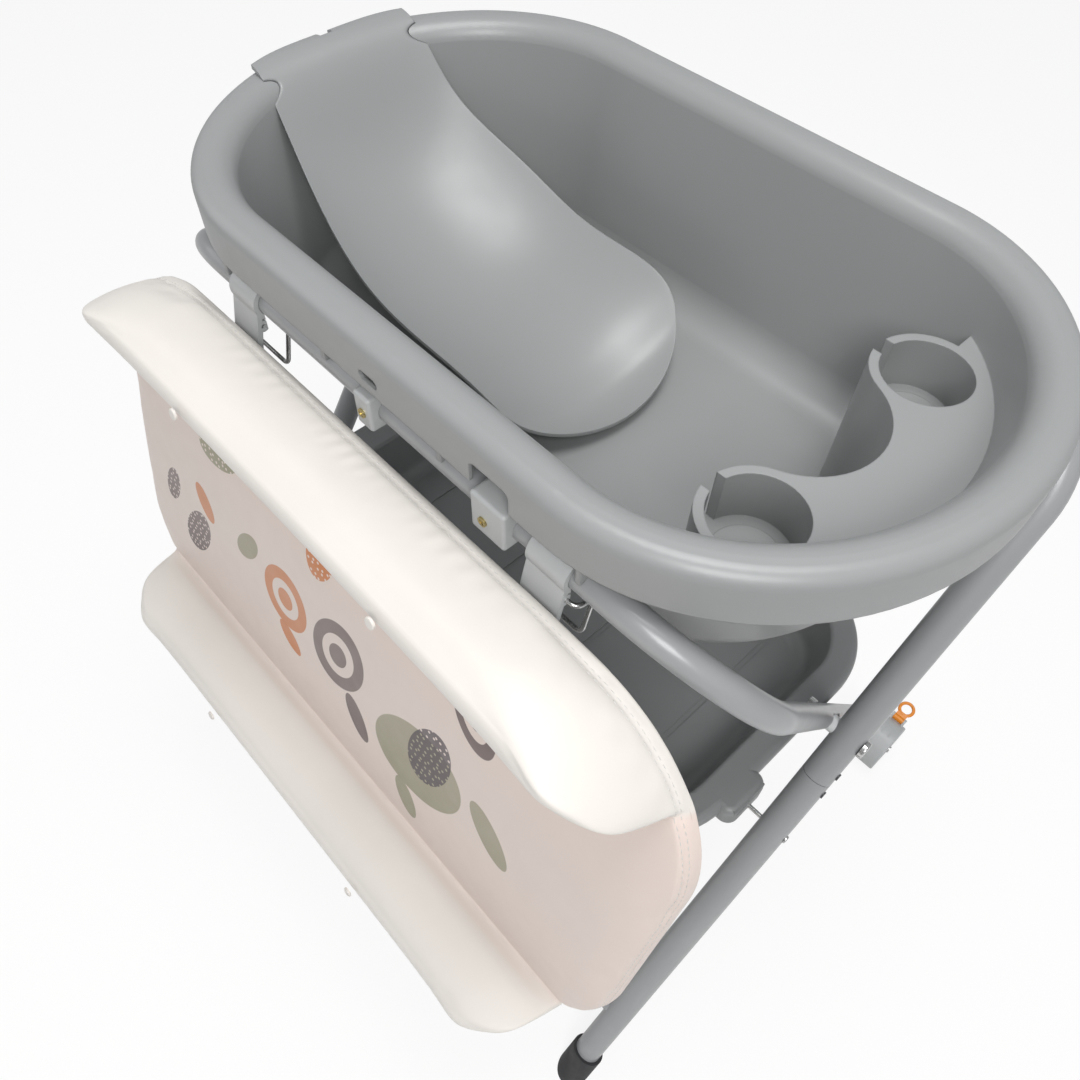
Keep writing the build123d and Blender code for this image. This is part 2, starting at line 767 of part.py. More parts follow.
def tray_tabs():
    tabs = None
    for side in (1, -1):
        inside = tray_lip_width
        tab = RectangleRounded(tab_reach + inside, tab_length, tab_radius)
        x = side * (tray_half_length + (tab_reach - inside) / 2)
        tab = Pos(x, -tray_pin_y, tray_height - tab_drop) * extrude(tab, tab_drop)
        tabs = tab if tabs is None else tabs + tab
    return tabs


def make_tray():
    lip_low = tray_height - tray_lip_drop
    tray_bottom = tray_height - tray_depth
    lip = extrude(tray_outline(0, lip_low), tray_lip_drop) + tray_tabs()
    top = lip.faces().sort_by(Axis.Z)[-1]
    lip = fillet(top.outer_wire().edges(), tray_lip_radius)
    well_top = tray_outline(tray_lip_width - tray_wall, tray_height - tray_wall)
    well_bottom = tray_outline(tray_lip_width + tray_draw_in - tray_wall, tray_bottom)
    outside = rounded_floor(loft([well_bottom, well_top]), tray_floor_radius)
    hollow_top = tray_outline(tray_lip_width, tray_height + cut_overrun)
    hollow_bottom = tray_outline(tray_lip_width + tray_draw_in, tray_bottom + tray_wall)
    hollow = rounded_floor(loft([hollow_bottom, hollow_top]), tray_floor_radius - tray_wall)
    under_lip = extrude(tray_outline(tray_wall, lip_low - cut_overrun), cut_overrun + tray_lip_drop - tray_wall)
    under_lip = under_lip - outside
    body = lip - under_lip
    for side in (1, -1):
        core = Box(tab_reach + tray_wall * 3, tab_length - tab_radius, tab_drop)
        core_x = side * (tray_half_length + (tab_reach - tray_wall * 3) / 2 - tray_wall / 2)
        core = Pos(core_x, -tray_pin_y, tray_height - tab_drop / 2 - tray_wall / 2) * core
        body += core & tray_tabs()
    body = body + outside - hollow
    groove = Box(tray_groove_width, tray_half_width * 1.3, tray_groove_depth * 2)
    for step in (-1.5, -0.5, 0.5, 1.5):
        body -= Pos(step * tray_groove_spacing, 0, tray_bottom + tray_wall) * groove
    top = body.faces().sort_by(Axis.Z)[-1]
    body = fillet(top.inner_wires()[0].edges(), tray_lip_radius / 2)
    for side in (1, -1):
        bore_from = side * (tray_half_length - tray_wall * 2)
        bore_to = side * (tray_half_length + tab_reach * 2)
        bore_radius = tray_pin_radius + tray_pin_clearance
        body -= along_x(bore_radius, bore_from, bore_to, -tray_pin_y, tray_pin_height)
    return body


def make_near_tray_pins():
    """Pins from the tray's tabs through the outer legs, with their round heads outside."""
    pins = []
    start = tray_half_length - tray_wall * 2
    face = outer_leg_x + outer_tube_radius
    head_end = face + tray_pin_head_height
    for side in (1, -1):
        pin = along_x(tray_pin_radius, side * start, side * face, -tray_pin_y, tray_pin_height)
        head = along_x(tray_pin_head_radius, side * face, side * head_end, -tray_pin_y, tray_pin_height)
        outer_edge = head.edges().sort_by(Axis.X)[-1 if side > 0 else 0]
        pins.append(pin + fillet(outer_edge, tray_pin_head_height / 2))
    return Compound(children=pins)


def make_far_tray_pins():
    """Pins in the inner legs that the tray's lip rests on."""
    pins = []
    start = tray_half_length - tray_pin_inside
    for side in (1, -1):
        pins.append(along_x(tray_pin_radius, side * start, side * inner_leg_x, tray_pin_y, tray_pin_height))
    return Compound(children=pins)


# Clips on the near top tube


def tube_clip(x, fixing_x, length, above):
    """A block clip held on the near top tube by a screw."""
    width = inner_tube_radius + clip_wall + clip_inner_reach
    clip = Box(length, width, clip_below + above)
    outer_face = inner_top_y - inner_tube_radius - clip_wall
    clip = Pos(x, outer_face + width / 2, inner_top_height + (above - clip_below) / 2) * clip
    clip = fillet(clip.edges(), clip_edge_radius)
    grip = inner_tube_radius + tube_grip_clearance
    clip -= along_x(grip, x - length, x + length, inner_top_y, inner_top_height)
    return clip - clip_screw_bore(fixing_x)


def clip_screw_bore(x):
    start = inner_top_y - inner_tube_radius - clip_wall - cut_overrun
    bore = Cylinder(screw_radius, screw_length + cut_overrun)
    return Pos(x, start + (screw_length + cut_overrun) / 2, inner_top_height) * Rot(90, 0, 0) * bore


def make_rim_clip():
    return tube_clip(notch_x, screw_x, clip_length, clip_above)


def make_rim_latch():
    return tube_clip(latch_x, latch_x, latch_length, latch_above)


def make_clip_screws():
    face = inner_top_y - inner_tube_radius - clip_wall
    screws = []
    for x in (screw_x, latch_x):
        shank = Pos(x, face + screw_length / 2, inner_top_height) * Rot(90, 0, 0)
        screw = shank * Cylinder(screw_radius, screw_length)
        head_y = face - screw_head_height / 2
        screw += Pos(x, head_y, inner_top_height) * Rot(90, 0, 0) * Cylinder(screw_head_radius, screw_head_height)
        for turn in (45, 135):
            bar = Rot(0, turn, 0) * Box(screw_head_radius * 1.3, cross_depth * 2, cross_width)
            screw -= Pos(x, face - screw_head_height, inner_top_height) * bar
        screws.append(screw)
    return Compound(children=screws)


# Hinge clips under the far rim


def make_hinge_clips():
    """Clips that turn on the far top tube and stand against the underside of the rim."""
    clips = []
    radius = outer_tube_radius + hinge_clearance
    post_inner = outer_top_y - radius
    post_outer = tub_half_width - skirt_wall - seat_gap
    flat_outer = tub_half_width - rim_outer_radius
    flat_inner = tub_half_width - wall_inset(rim_underside) + rim_inner_radius
    shoulder = rim_underside - rim_inner_radius + tub_wall * 2
    for side in (1, -1):
        x_from = side * hinge_clip_x - hinge_clip_length / 2
        x_to = side * hinge_clip_x + hinge_clip_length / 2
        ring = along_x(radius + hinge_clip_wall, x_from, x_to, outer_top_y, outer_top_height)
        post = Box(hinge_clip_length, post_outer - post_inner, shoulder - outer_top_height)
        post_z = (shoulder + outer_top_height) / 2
        post = Pos(side * hinge_clip_x, (post_outer + post_inner) / 2, post_z) * post
        tongue_top = rim_underside - seat_gap
        tongue = Box(hinge_clip_length, flat_outer - flat_inner, tongue_top - outer_top_height)
        tongue_z = (tongue_top + outer_top_height) / 2
        post += Pos(side * hinge_clip_x, (flat_outer + flat_inner) / 2, tongue_z) * tongue
        clip = ring + post - along_x(radius, x_from, x_to, outer_top_y, outer_top_height)
        mouth = Box(hinge_clip_length * 2, radius * 1.5, radius + hinge_clip_wall)
        mouth_z = outer_top_height - (radius + hinge_clip_wall) / 2 - radius / 2
        clips.append(clip - Pos(side * hinge_clip_x, outer_top_y, mouth_z) * mouth)
    return Compound(children=clips)


# Changing mat, modelled lying flat with its face up, then hung


def hung(solid):
    """Local X along the tub, local Y up the hanging mat and local Z out of its face."""
    return Pos(0, mat_centre_y, mat_centre_z) * Rot(90 - mat_tilt_deg, 0, 0) * solid


def mat_plan(inset, low, height):
    corner = mat_corner_radius - inset
    plan = RectangleRounded((mat_half_length - inset) * 2, (mat_half_width - inset) * 2, corner)
    return Pos(0, 0, low) * extrude(plan, height)


def bolster_outline(side):
    """One bolster from the mat's floor over its round crest and down to the base, for side 1 or -1."""
    radius = bolster_crest_radius
    shoulder = math.radians(bolster_shoulder_deg)
    reach = radius * math.cos(shoulder)
    shoulder_z = bolster_height - radius + radius * math.sin(shoulder)
    crest = bolster_crest_offset
    inner_y = (bolster_valley_offset + crest - reach) / 2 - bolster_side_bulge
    outer_y = (mat_half_width + crest + reach) / 2 + bolster_side_bulge
    outer_z = (shoulder_z - mat_thickness) / 2
    valley = (side * bolster_valley_offset, 0)
    inner = (side * (crest - reach), shoulder_z)
    outer = (side * (crest + reach), shoulder_z)
    rise = ThreePointArc(valley, (side * inner_y, shoulder_z / 2), inner)
    top = ThreePointArc(inner, (side * crest, bolster_height), outer)
    fall = ThreePointArc(outer, (side * outer_y, outer_z), (side * mat_half_width, -mat_thickness))
    return [rise, top, fall]


def mat_cross_section():
    """Across the mat: a gently crowned floor between two raised bolsters with bulging sides."""
    valley = bolster_valley_offset
    floor = ThreePointArc((-valley, 0), (0, mat_crown), (valley, 0))
    base = Line((mat_half_width, -mat_thickness), (-mat_half_width, -mat_thickness))
    return make_face([floor, *bolster_outline(1), base, *bolster_outline(-1)])


def mat_side_section():
    """Along the mat: the bolsters' crests run level and drop in a soft line to the ends."""
    low = -mat_thickness - cut_overrun
    end = mat_half_length + cut_overrun
    crest = bolster_crest_half_length
    high = bolster_height + cut_overrun
    knee = (mat_half_length, mat_end_height)
    middle = ((mat_half_length + crest) / 2, (bolster_height + mat_end_height) / 2 + bolster_side_bulge)
    right = ThreePointArc((crest, bolster_height), middle, knee)
    left = ThreePointArc((-knee[0], knee[1]), (-middle[0], middle[1]), (-crest, bolster_height))
    outline = [
        right,
        Polyline(knee, (end, mat_end_height), (end, low), (-end, low), (-end, mat_end_height), (-knee[0], knee[1])),
        left,
        Polyline((-crest, bolster_height), (-crest, high), (crest, high), (crest, bolster_height)),
    ]
    return make_face(outline)


def tuft_ball():
    """Radius of the round dimple that a tuft is drawn down into."""
    return (tuft_dimple_radius**2 + tuft_dimple_depth**2) / (2 * tuft_dimple_depth)


def tuft_seat_rise():
    """How far above the dimple's lowest point a button's edge rests."""
    return tuft_ball() - math.sqrt(tuft_ball() ** 2 - tuft_radius**2) + tuft_clearance


def make_mat_pad():
    length = mat_half_length + cut_overrun
    across = extrude(Plane.YZ * mat_cross_section(), length, both=True)
    along = extrude(Plane.XZ * mat_side_section(), mat_half_width + cut_overrun, both=True)
    pad = across & along & mat_plan(0, -mat_thickness - cut_overrun, bolster_height * 2)
    for x in (-tuft_x, tuft_x):
        for side in (1, -1):
            z = bolster_height + tuft_ball() - tuft_dimple_depth
            pad -= Pos(x, side * bolster_crest_offset, z) * Sphere(tuft_ball())
    return hung(pad)


def make_mat_board():
    return hung(mat_plan(board_inset, -mat_thickness - board_thickness, board_thickness))


def make_mat_tufts():
    tufts = []
    for x in (-tuft_x, tuft_x):
        for side in (1, -1):
            z = bolster_height - tuft_dimple_depth + tuft_seat_rise()
            tuft = upright(tuft_radius, x, side * bolster_crest_offset, z, z + tuft_height)
            tuft = fillet(tuft.edges().group_by(Axis.Z)[-1], tuft_height / 2)
            tufts.append(hung(tuft))
    return Compound(children=tufts)


# Saddles, bails and their screws


def saddle_strap_middle():
    return tube_along_mat - inner_tube_radius - saddle_wall - saddle_strap_length / 2


def saddle_strap_back():
    return -mat_thickness - board_thickness - saddle_strap_thickness


def bail_axis():
    """Place of the bail's pivot in the mat's own frame: along the mat and off its face."""
    along = tube_along_mat - inner_tube_radius - saddle_wall - bail_boss_radius
    off = saddle_strap_back() - bail_boss_radius + saddle_wall
    return along, off


def make_saddle(side):
    """A hook over the near top tube, with a strap screwed to the back of the board."""
    x = side * saddle_x
    x_from = x - saddle_length / 2
    x_to = x + saddle_length / 2
    grip = inner_tube_radius + saddle_grip_clearance
    ring = along_x(grip + saddle_wall, x_from, x_to, tube_along_mat, tube_off_mat)
    strap = Box(saddle_length, saddle_strap_length, saddle_strap_thickness)
    strap = Pos(x, saddle_strap_middle(), saddle_strap_back() + saddle_strap_thickness / 2) * strap
    neck_low = saddle_strap_middle()
    neck_length = tube_along_mat - neck_low
    neck = Box(saddle_length, neck_length, saddle_strap_thickness)
    neck = Pos(x, neck_low + neck_length / 2, saddle_strap_back() + saddle_strap_thickness / 2) * neck
    along, off = bail_axis()
    boss = along_x(bail_boss_radius, x_from, x_to, along, off)
    body = ring + strap + neck + boss
    body -= along_x(grip, x_from, x_to, tube_along_mat, tube_off_mat)
    mouth = Box(saddle_length * 2, grip * saddle_mouth_share, grip * 2)
    mouth_angle = 90 + mat_tilt_deg
    mouth = Rot(mouth_angle, 0, 0) * Pos(0, 0, grip) * mouth
    body -= Pos(x, tube_along_mat, tube_off_mat) * mouth
    body -= along_x(bail_wire_radius + bail_clearance, x_from, x_to, along, off)
    return hung(body)


def make_saddle_screws():
    screws = []
    for side in (1, -1):
        for step in (-1, 1):
            x = side * saddle_x + step * saddle_screw_spacing / 2
            y = saddle_strap_middle() - saddle_strap_length / 4
            back = saddle_strap_back()
            screw = upright(saddle_screw_radius, x, y, back - saddle_screw_height, back)
            screws.append(hung(fillet(screw.edges().group_by(Axis.Z)[0], saddle_screw_height / 2)))
    return Compound(children=screws)


def make_wire_bail(side):
    """A bent steel wire turning in the saddle's boss, its loop reaching in under the tub."""
    along, off = bail_axis()
    clear = saddle_length / 2 + bail_bend_radius + bail_wire_radius
    near_x = side * (saddle_x - clear)
    far_x = side * (saddle_x + clear)
    arm = off - bail_reach
    path = FilletPolyline(
        (side * saddle_x, along, off),
        (far_x, along, off),
        (far_x, along, arm),
        (far_x, along - bail_drop, arm),
        (near_x, along - bail_drop, arm),
        (near_x, along, arm),
        radius=bail_bend_radius,
    )
    start = Plane(origin=(side * saddle_x, along, off), z_dir=(side, 0, 0))
    return hung(sweep(start * Circle(bail_wire_radius), path=path))


def main():
    tub = make_tub()
    parts = {
        "tub_basin": tub,
        "drain_plug": make_drain_plug(),
        "seat_insert": make_seat_insert(tub),
        "outer_frame_upper": make_outer_upper(),
        "inner_frame_upper": make_inner_upper(),
        "outer_leg_rivets": leg_rivets(outer_tube_radius, outer_leg_x, 1),
        "inner_leg_rivets": leg_rivets(inner_tube_radius, inner_leg_x, -1),
        "pivot_bolts": make_pivot_bolts(),
        "pivot_spacers": make_pivot_spacers(),
        "pivot_nuts": make_pivot_nuts(),
        "lower_crossbar": make_crossbar(),
        "storage_tray": make_tray(),
        "tray_pins_near": make_near_tray_pins(),
        "tray_pins_far": make_far_tray_pins(),
        "rim_clip": make_rim_clip(),
        "rim_latch": make_rim_latch(),
        "clip_screws": make_clip_screws(),
        "hinge_clips": make_hinge_clips(),
        "mat_pad": make_mat_pad(),
        "mat_board": make_mat_board(),
        "mat_tufts": make_mat_tufts(),
        "saddle_screws": make_saddle_screws(),
    }
    for name, side in (("head", -1), ("foot", 1)):
        parts["outer_leg_lower_" + name] = make_outer_leg(side)
        parts["inner_leg_lower_" + name] = make_inner_leg(side)
        parts["rubber_foot_" + name] = make_foot(side)
        parts["wheel_" + name] = make_wheel(side)
        parts["wheel_housing_" + name] = make_wheel_housing(side)
        parts["wheel_axle_" + name] = make_axle(side)
        parts["brake_lever_" + name] = make_brake_lever(side)
        parts["mat_saddle_" + name] = make_saddle(side)
        parts["wire_bail_" + name] = make_wire_bail(side)
    boxes = [solid.bounding_box() for solid in parts.values()]
    middle_y = round((min(box.min.Y for box in boxes) + max(box.max.Y for box in boxes)) / 2, 1)
    print("tub middle at y", -middle_y)
    os.makedirs("parts", exist_ok=True)
    for name, solid in parts.items():
        export_step(Pos(0, -middle_y, 0) * solid, "parts/" + name + ".step")


main()
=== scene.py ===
import math

import bmesh
import bpy
from bpy.props import FloatProperty, FloatVectorProperty, PointerProperty
from mathutils import Euler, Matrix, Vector
from mathutils.bvhtree import BVHTree


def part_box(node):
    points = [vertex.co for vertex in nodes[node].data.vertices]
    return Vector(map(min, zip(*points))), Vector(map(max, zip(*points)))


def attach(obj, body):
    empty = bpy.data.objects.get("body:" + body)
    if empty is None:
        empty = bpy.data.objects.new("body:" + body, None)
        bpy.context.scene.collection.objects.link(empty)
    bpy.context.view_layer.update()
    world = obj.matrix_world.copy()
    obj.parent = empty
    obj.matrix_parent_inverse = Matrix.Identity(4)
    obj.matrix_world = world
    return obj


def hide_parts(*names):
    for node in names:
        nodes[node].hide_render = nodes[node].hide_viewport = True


bl_info = {
    "name": "Changing table with bathtub",
    "version": (1, 0, 0),
    "blender": (4, 5, 0),
    "location": "View3D > Sidebar > Bath table",
    "description": "Finishes, padded mat and studio for a folding changing table with a bathtub",
    "category": "Object",
}

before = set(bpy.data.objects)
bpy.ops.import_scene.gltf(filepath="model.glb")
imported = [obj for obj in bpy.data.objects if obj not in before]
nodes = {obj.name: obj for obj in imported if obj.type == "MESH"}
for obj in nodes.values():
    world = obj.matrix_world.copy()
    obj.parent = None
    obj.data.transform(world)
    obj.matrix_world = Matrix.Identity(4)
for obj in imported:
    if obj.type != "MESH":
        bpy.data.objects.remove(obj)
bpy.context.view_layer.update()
MM = 0.001


def colour_property(name, description, default):
    return FloatVectorProperty(
        name=name, description=description, subtype="COLOR", size=3, min=0, max=1, default=default
    )


def length_property(name, description, default):
    return FloatProperty(name=name, description=description, unit="LENGTH", default=default)


class PlasticSettings(bpy.types.PropertyGroup):
    bath_grey: colour_property("Bath grey", "Moulded plastic of the tub, seat and tray", (0.27, 0.275, 0.275))
    clip_grey: colour_property("Clip grey", "Saddles, clips and wheel housings", (0.42, 0.43, 0.43))
    spacer_grey: colour_property("Spacer grey", "Rings between the crossed legs", (0.62, 0.63, 0.63))
    wheel_grey: colour_property("Wheel grey", "Castor wheels", (0.075, 0.077, 0.08))
    brake_orange: colour_property("Brake orange", "Brake levers", (0.72, 0.24, 0.02))
    board_grey: colour_property("Board grey", "Stiff board under the mat", (0.66, 0.65, 0.63))


class MetalSettings(bpy.types.PropertyGroup):
    tube_grey: colour_property("Tube grey", "Powder coat on the leg tubes", (0.29, 0.295, 0.30))
    steel: colour_property("Steel", "Bright zinc on pins and wires", (0.62, 0.62, 0.61))
    brass: colour_property("Brass", "Yellow zinc on the cross screws", (0.55, 0.45, 0.2))
    rivet: colour_property("Rivet", "Dark rivet heads", (0.05, 0.052, 0.055))
    rubber: colour_property("Rubber", "Feet", (0.03, 0.03, 0.032))


class MatSettings(bpy.types.PropertyGroup):
    cover: colour_property("Cover", "Coated cover of the mat", (0.69, 0.655, 0.61))
    # The darker, pinker colour of the mat's floor is partly the fabric's own tint and partly painted shade of
    # the hollow between the bolsters.
    floor_tint_and_shade: colour_property("Floor tint", "Cover between the bolsters", (0.66, 0.535, 0.475))
    orange: colour_property("Orange", "Orange motifs", (0.52, 0.17, 0.04))
    taupe: colour_property("Taupe", "Brown motifs", (0.115, 0.075, 0.07))
    sage: colour_property("Sage", "Green-grey motifs", (0.27, 0.25, 0.16))
    plum: colour_property("Plum", "Dark motifs", (0.035, 0.018, 0.032))
    cloth_pitch: length_property("Cloth pitch", "Mesh size of the cover along the mat", 12 * MM)
    swell: length_property("Swell", "Furthest that inflation may move the cover", 5 * MM)
    tilt: FloatProperty(
        name="Tilt", description="Lean of the hanging mat", subtype="ANGLE", default=math.radians(13.2)
    )
    board_back: length_property("Board back", "Depth of the board's middle behind the mat's floor", 19 * MM)
    valley: length_property("Valley", "From the middle to where a bolster starts", 180 * MM)
    crest: length_property("Crest", "From the middle to a bolster's crest", 214 * MM)
    half_length: length_property("Half length", "Half of the mat along the tub", 386 * MM)
    half_width: length_property("Half width", "Half of the mat from edge to edge", 232 * MM)
    corner: length_property("Corner", "Radius of the mat's corners in plan", 135 * MM)
    draw_in: length_property("Draw in", "How far the top of the mat's side lies inside its base", 8 * MM)
    base: length_property("Base", "The mat's back, from its floor", -17 * MM)
    crown: length_property("Crown", "Rise of the floor in the middle", 5 * MM)
    bolster: length_property("Bolster", "Height of the bolsters over the floor", 81 * MM)
    crest_radius: length_property("Crest radius", "Rounding along the top of a bolster", 11 * MM)
    level: length_property("Level", "Half of the bolster's level run", 296 * MM)
    end_height: length_property("End height", "Height at the mat's ends", 5 * MM)
    button_along: length_property("Button place", "From the middle of the mat to a button", 130 * MM)
    button_seat: length_property("Button seat", "Where the cover is drawn down to under a button", 78.4 * MM)
    button_pull: length_property("Button pull", "Reach of the dimple round a button", 13 * MM)
    seam_depth: length_property("Seam depth", "Where the edge seam runs, from the mat's floor", -4 * MM)
    seam_spacing: length_property("Seam spacing", "Between the two rows of stitches", 4.5 * MM)
    stitch_pitch: length_property("Stitch pitch", "From one stitch to the next", 6.5 * MM)
    stitch_length: length_property("Stitch length", "Length of one stitch", 4.2 * MM)
    thread: length_property("Thread", "Thickness of the sewing thread", 0.7 * MM)
    thread_colour: colour_property("Thread colour", "Sewing thread", (0.56, 0.55, 0.53))


class StudioSettings(bpy.types.PropertyGroup):
    floor_colour: colour_property("Floor", "Pale studio floor", (0.86, 0.85, 0.84))
    lens: FloatProperty(name="Lens", description="Focal length for a 36 mm film width", default=29.77)
    camera_place: FloatVectorProperty(
        name="Camera place", description="Where the camera stands", subtype="TRANSLATION",
        default=(0.4266, -0.4309, 1.2941),
    )
    camera_turn: FloatVectorProperty(
        name="Camera turn", description="How the camera is turned", subtype="EULER",
        default=(math.radians(35.958), math.radians(-1.019), math.radians(47.047)),
    )


def settings(name):
    return getattr(bpy.context.scene, name)


# Shader helpers


def new_group(name, inputs, outputs):
    """A shader node group with named sockets: (name, kind, default) going in and (name, kind) coming out."""
    group = bpy.data.node_groups.new(name, "ShaderNodeTree")
    for socket_name, kind, default in inputs:
        socket = group.interface.new_socket(name=socket_name, in_out="INPUT", socket_type=kind)
        socket.default_value = default
    for socket_name, kind in outputs:
        group.interface.new_socket(name=socket_name, in_out="OUTPUT", socket_type=kind)
    start = group.nodes.new("NodeGroupInput")
    end = group.nodes.new("NodeGroupOutput")
    return group, start, end


def add_node(tree, kind, links=(), **values):
    """A node with its properties set and its inputs linked or filled, by socket name or index."""
    node = tree.nodes.new(kind)
    for key, value in values.items():
        setattr(node, key, value)
    for socket, value in dict(links).items():
        if isinstance(value, bpy.types.NodeSocket):
            tree.links.new(value, node.inputs[socket])
        else:
            node.inputs[socket].default_value = value
    return node


def math_node(tree, operation, first, second=0.0):
    return add_node(tree, "ShaderNodeMath", {0: first, 1: second}, operation=operation).outputs[0]


def map_range(tree, value, low, high, to_low=0.0, to_high=1.0):
    inputs = {"Value": value, "From Min": low, "From Max": high, "To Min": to_low, "To Max": to_high}
    return add_node(tree, "ShaderNodeMapRange", inputs, interpolation_type="SMOOTHSTEP").outputs[0]


def mix_colour(tree, factor, first, second):
    node = tree.nodes.new("ShaderNodeMix")
    node.data_type = "RGBA"
    for socket, value in ((node.inputs[0], factor), (node.inputs[6], first), (node.inputs[7], second)):
        if isinstance(value, bpy.types.NodeSocket):
            tree.links.new(value, socket)
        else:
            socket.default_value = value
    return node.outputs[2]


def solid(colour):
    return (colour[0], colour[1], colour[2], 1.0)


def shade(colour, factor):
    return tuple(min(1.0, channel * factor) for channel in colour)


# Effects that several finishes share


def build_moulding_group():
    """Moulded plastic: a slow drift of tone, fine grain, paler edges and soft wiping marks."""
    group, start, end = new_group(
        "Moulded plastic",
        [
            ("Colour", "NodeSocketColor", (0.3, 0.3, 0.3, 1)),
            ("Grain Size", "NodeSocketFloat", 900.0),
            ("Drift", "NodeSocketFloat", 0.04),
            ("Edge Wear", "NodeSocketFloat", 0.02),
            ("Roughness", "NodeSocketFloat", 0.4),
        ],
        [("Colour", "NodeSocketColor"), ("Roughness", "NodeSocketFloat"), ("Height", "NodeSocketFloat")],
    )
    place = add_node(group, "ShaderNodeTexCoord").outputs["Object"]
    slow = add_node(group, "ShaderNodeTexNoise", {"Vector": place, "Scale": 5.0, "Detail": 3.0}).outputs[0]
    wipe = add_node(
        group, "ShaderNodeTexNoise", {"Vector": place, "Scale": 34.0, "Detail": 5.0, "Roughness": 0.65}
    ).outputs[0]
    grain = add_node(
        group, "ShaderNodeTexNoise", {"Vector": place, "Scale": start.outputs["Grain Size"], "Detail": 2.0}
    ).outputs[0]
    edges = add_node(group, "ShaderNodeNewGeometry").outputs["Pointiness"]
    worn = map_range(group, edges, 0.55, 0.65)
    worn = math_node(group, "MULTIPLY", worn, start.outputs["Edge Wear"])
    swing = math_node(group, "MULTIPLY", math_node(group, "SUBTRACT", slow, 0.5), start.outputs["Drift"])
    tone = math_node(group, "ADD", math_node(group, "ADD", 1.0, swing), worn)
    tint = {0: start.outputs["Colour"], "Scale": tone}
    bright = add_node(group, "ShaderNodeVectorMath", tint, operation="SCALE")
    marks = map_range(group, wipe, 0.35, 0.75, -0.02, 0.03)
    rough = math_node(group, "ADD", start.outputs["Roughness"], marks)
    group.links.new(bright.outputs[0], end.inputs["Colour"])
    group.links.new(rough, end.inputs["Roughness"])
    group.links.new(grain, end.inputs["Height"])
    return group


def build_coat_group():
    """Powder coat: orange peel in the height, slight mottling and rubbed edges."""
    group, start, end = new_group(
        "Powder coat",
        [("Colour", "NodeSocketColor", (0.25, 0.25, 0.26, 1)), ("Roughness", "NodeSocketFloat", 0.3)],
        [("Colour", "NodeSocketColor"), ("Roughness", "NodeSocketFloat"), ("Height", "NodeSocketFloat")],
    )
    place = add_node(group, "ShaderNodeTexCoord").outputs["Object"]
    peel = add_node(group, "ShaderNodeTexNoise", {"Vector": place, "Scale": 420.0, "Detail": 1.0}).outputs[0]
    mottle = add_node(group, "ShaderNodeTexNoise", {"Vector": place, "Scale": 9.0, "Detail": 1.0}).outputs[0]
    rubbed = add_node(
        group, "ShaderNodeTexNoise", {"Vector": place, "Scale": 60.0, "Detail": 6.0, "Roughness": 0.7}
    ).outputs[0]
    edges = add_node(group, "ShaderNodeNewGeometry").outputs["Pointiness"]
    bare = map_range(group, rubbed, 0.5, 0.6)
    bare = math_node(group, "MULTIPLY", map_range(group, edges, 0.6, 0.7), bare)
    tone = map_range(group, mottle, 0.2, 0.8, 0.985, 1.015)
    tone = math_node(group, "ADD", tone, math_node(group, "MULTIPLY", bare, 0.2))
    tint = {0: start.outputs["Colour"], "Scale": tone}
    bright = add_node(group, "ShaderNodeVectorMath", tint, operation="SCALE")
    uneven = map_range(group, rubbed, 0.3, 0.8, -0.02, 0.04)
    rough = math_node(group, "ADD", start.outputs["Roughness"], uneven)
    group.links.new(bright.outputs[0], end.inputs["Colour"])
    group.links.new(rough, end.inputs["Roughness"])
    group.links.new(peel, end.inputs["Height"])
    return group


def effect(name, build):
    return bpy.data.node_groups.get(name) or build()


def new_material(name):
    material = bpy.data.materials.new(name)
    material.use_nodes = True
    return material, material.node_tree, material.node_tree.nodes["Principled BSDF"]


def bump_from(tree, shader, height, depth, strength=1.0, edge_radius=0.0):
    bump = add_node(tree, "ShaderNodeBump", {"Height": height, "Distance": depth, "Strength": strength})
    if edge_radius:
        rounded = add_node(tree, "ShaderNodeBevel", {"Radius": edge_radius}, samples=4)
        tree.links.new(rounded.outputs[0], bump.inputs["Normal"])
    tree.links.new(bump.outputs[0], shader.inputs["Normal"])


def moulded(name, colour, roughness, grain_size=900.0, grain_depth=0.06 * MM, drift=0.04, edge_radius=0.0):
    material, tree, shader = new_material(name)
    node = tree.nodes.new("ShaderNodeGroup")
    node.node_tree = effect("Moulded plastic", build_moulding_group)
    node.inputs["Colour"].default_value = solid(colour)
    node.inputs["Grain Size"].default_value = grain_size
    node.inputs["Drift"].default_value = drift
    node.inputs["Roughness"].default_value = roughness
    tree.links.new(node.outputs["Colour"], shader.inputs["Base Color"])
    tree.links.new(node.outputs["Roughness"], shader.inputs["Roughness"])
    bump_from(tree, shader, node.outputs["Height"], grain_depth, edge_radius=edge_radius)
    return material


def powder_coated(name, colour, roughness):
    material, tree, shader = new_material(name)
    node = tree.nodes.new("ShaderNodeGroup")
    node.node_tree = effect("Powder coat", build_coat_group)
    node.inputs["Colour"].default_value = solid(colour)
    node.inputs["Roughness"].default_value = roughness
    tree.links.new(node.outputs["Colour"], shader.inputs["Base Color"])
    tree.links.new(node.outputs["Roughness"], shader.inputs["Roughness"])
    bump_from(tree, shader, node.outputs["Height"], 0.025 * MM)
    shader.inputs["Coat Weight"].default_value = 0.25
    shader.inputs["Coat Roughness"].default_value = 0.2
    return material


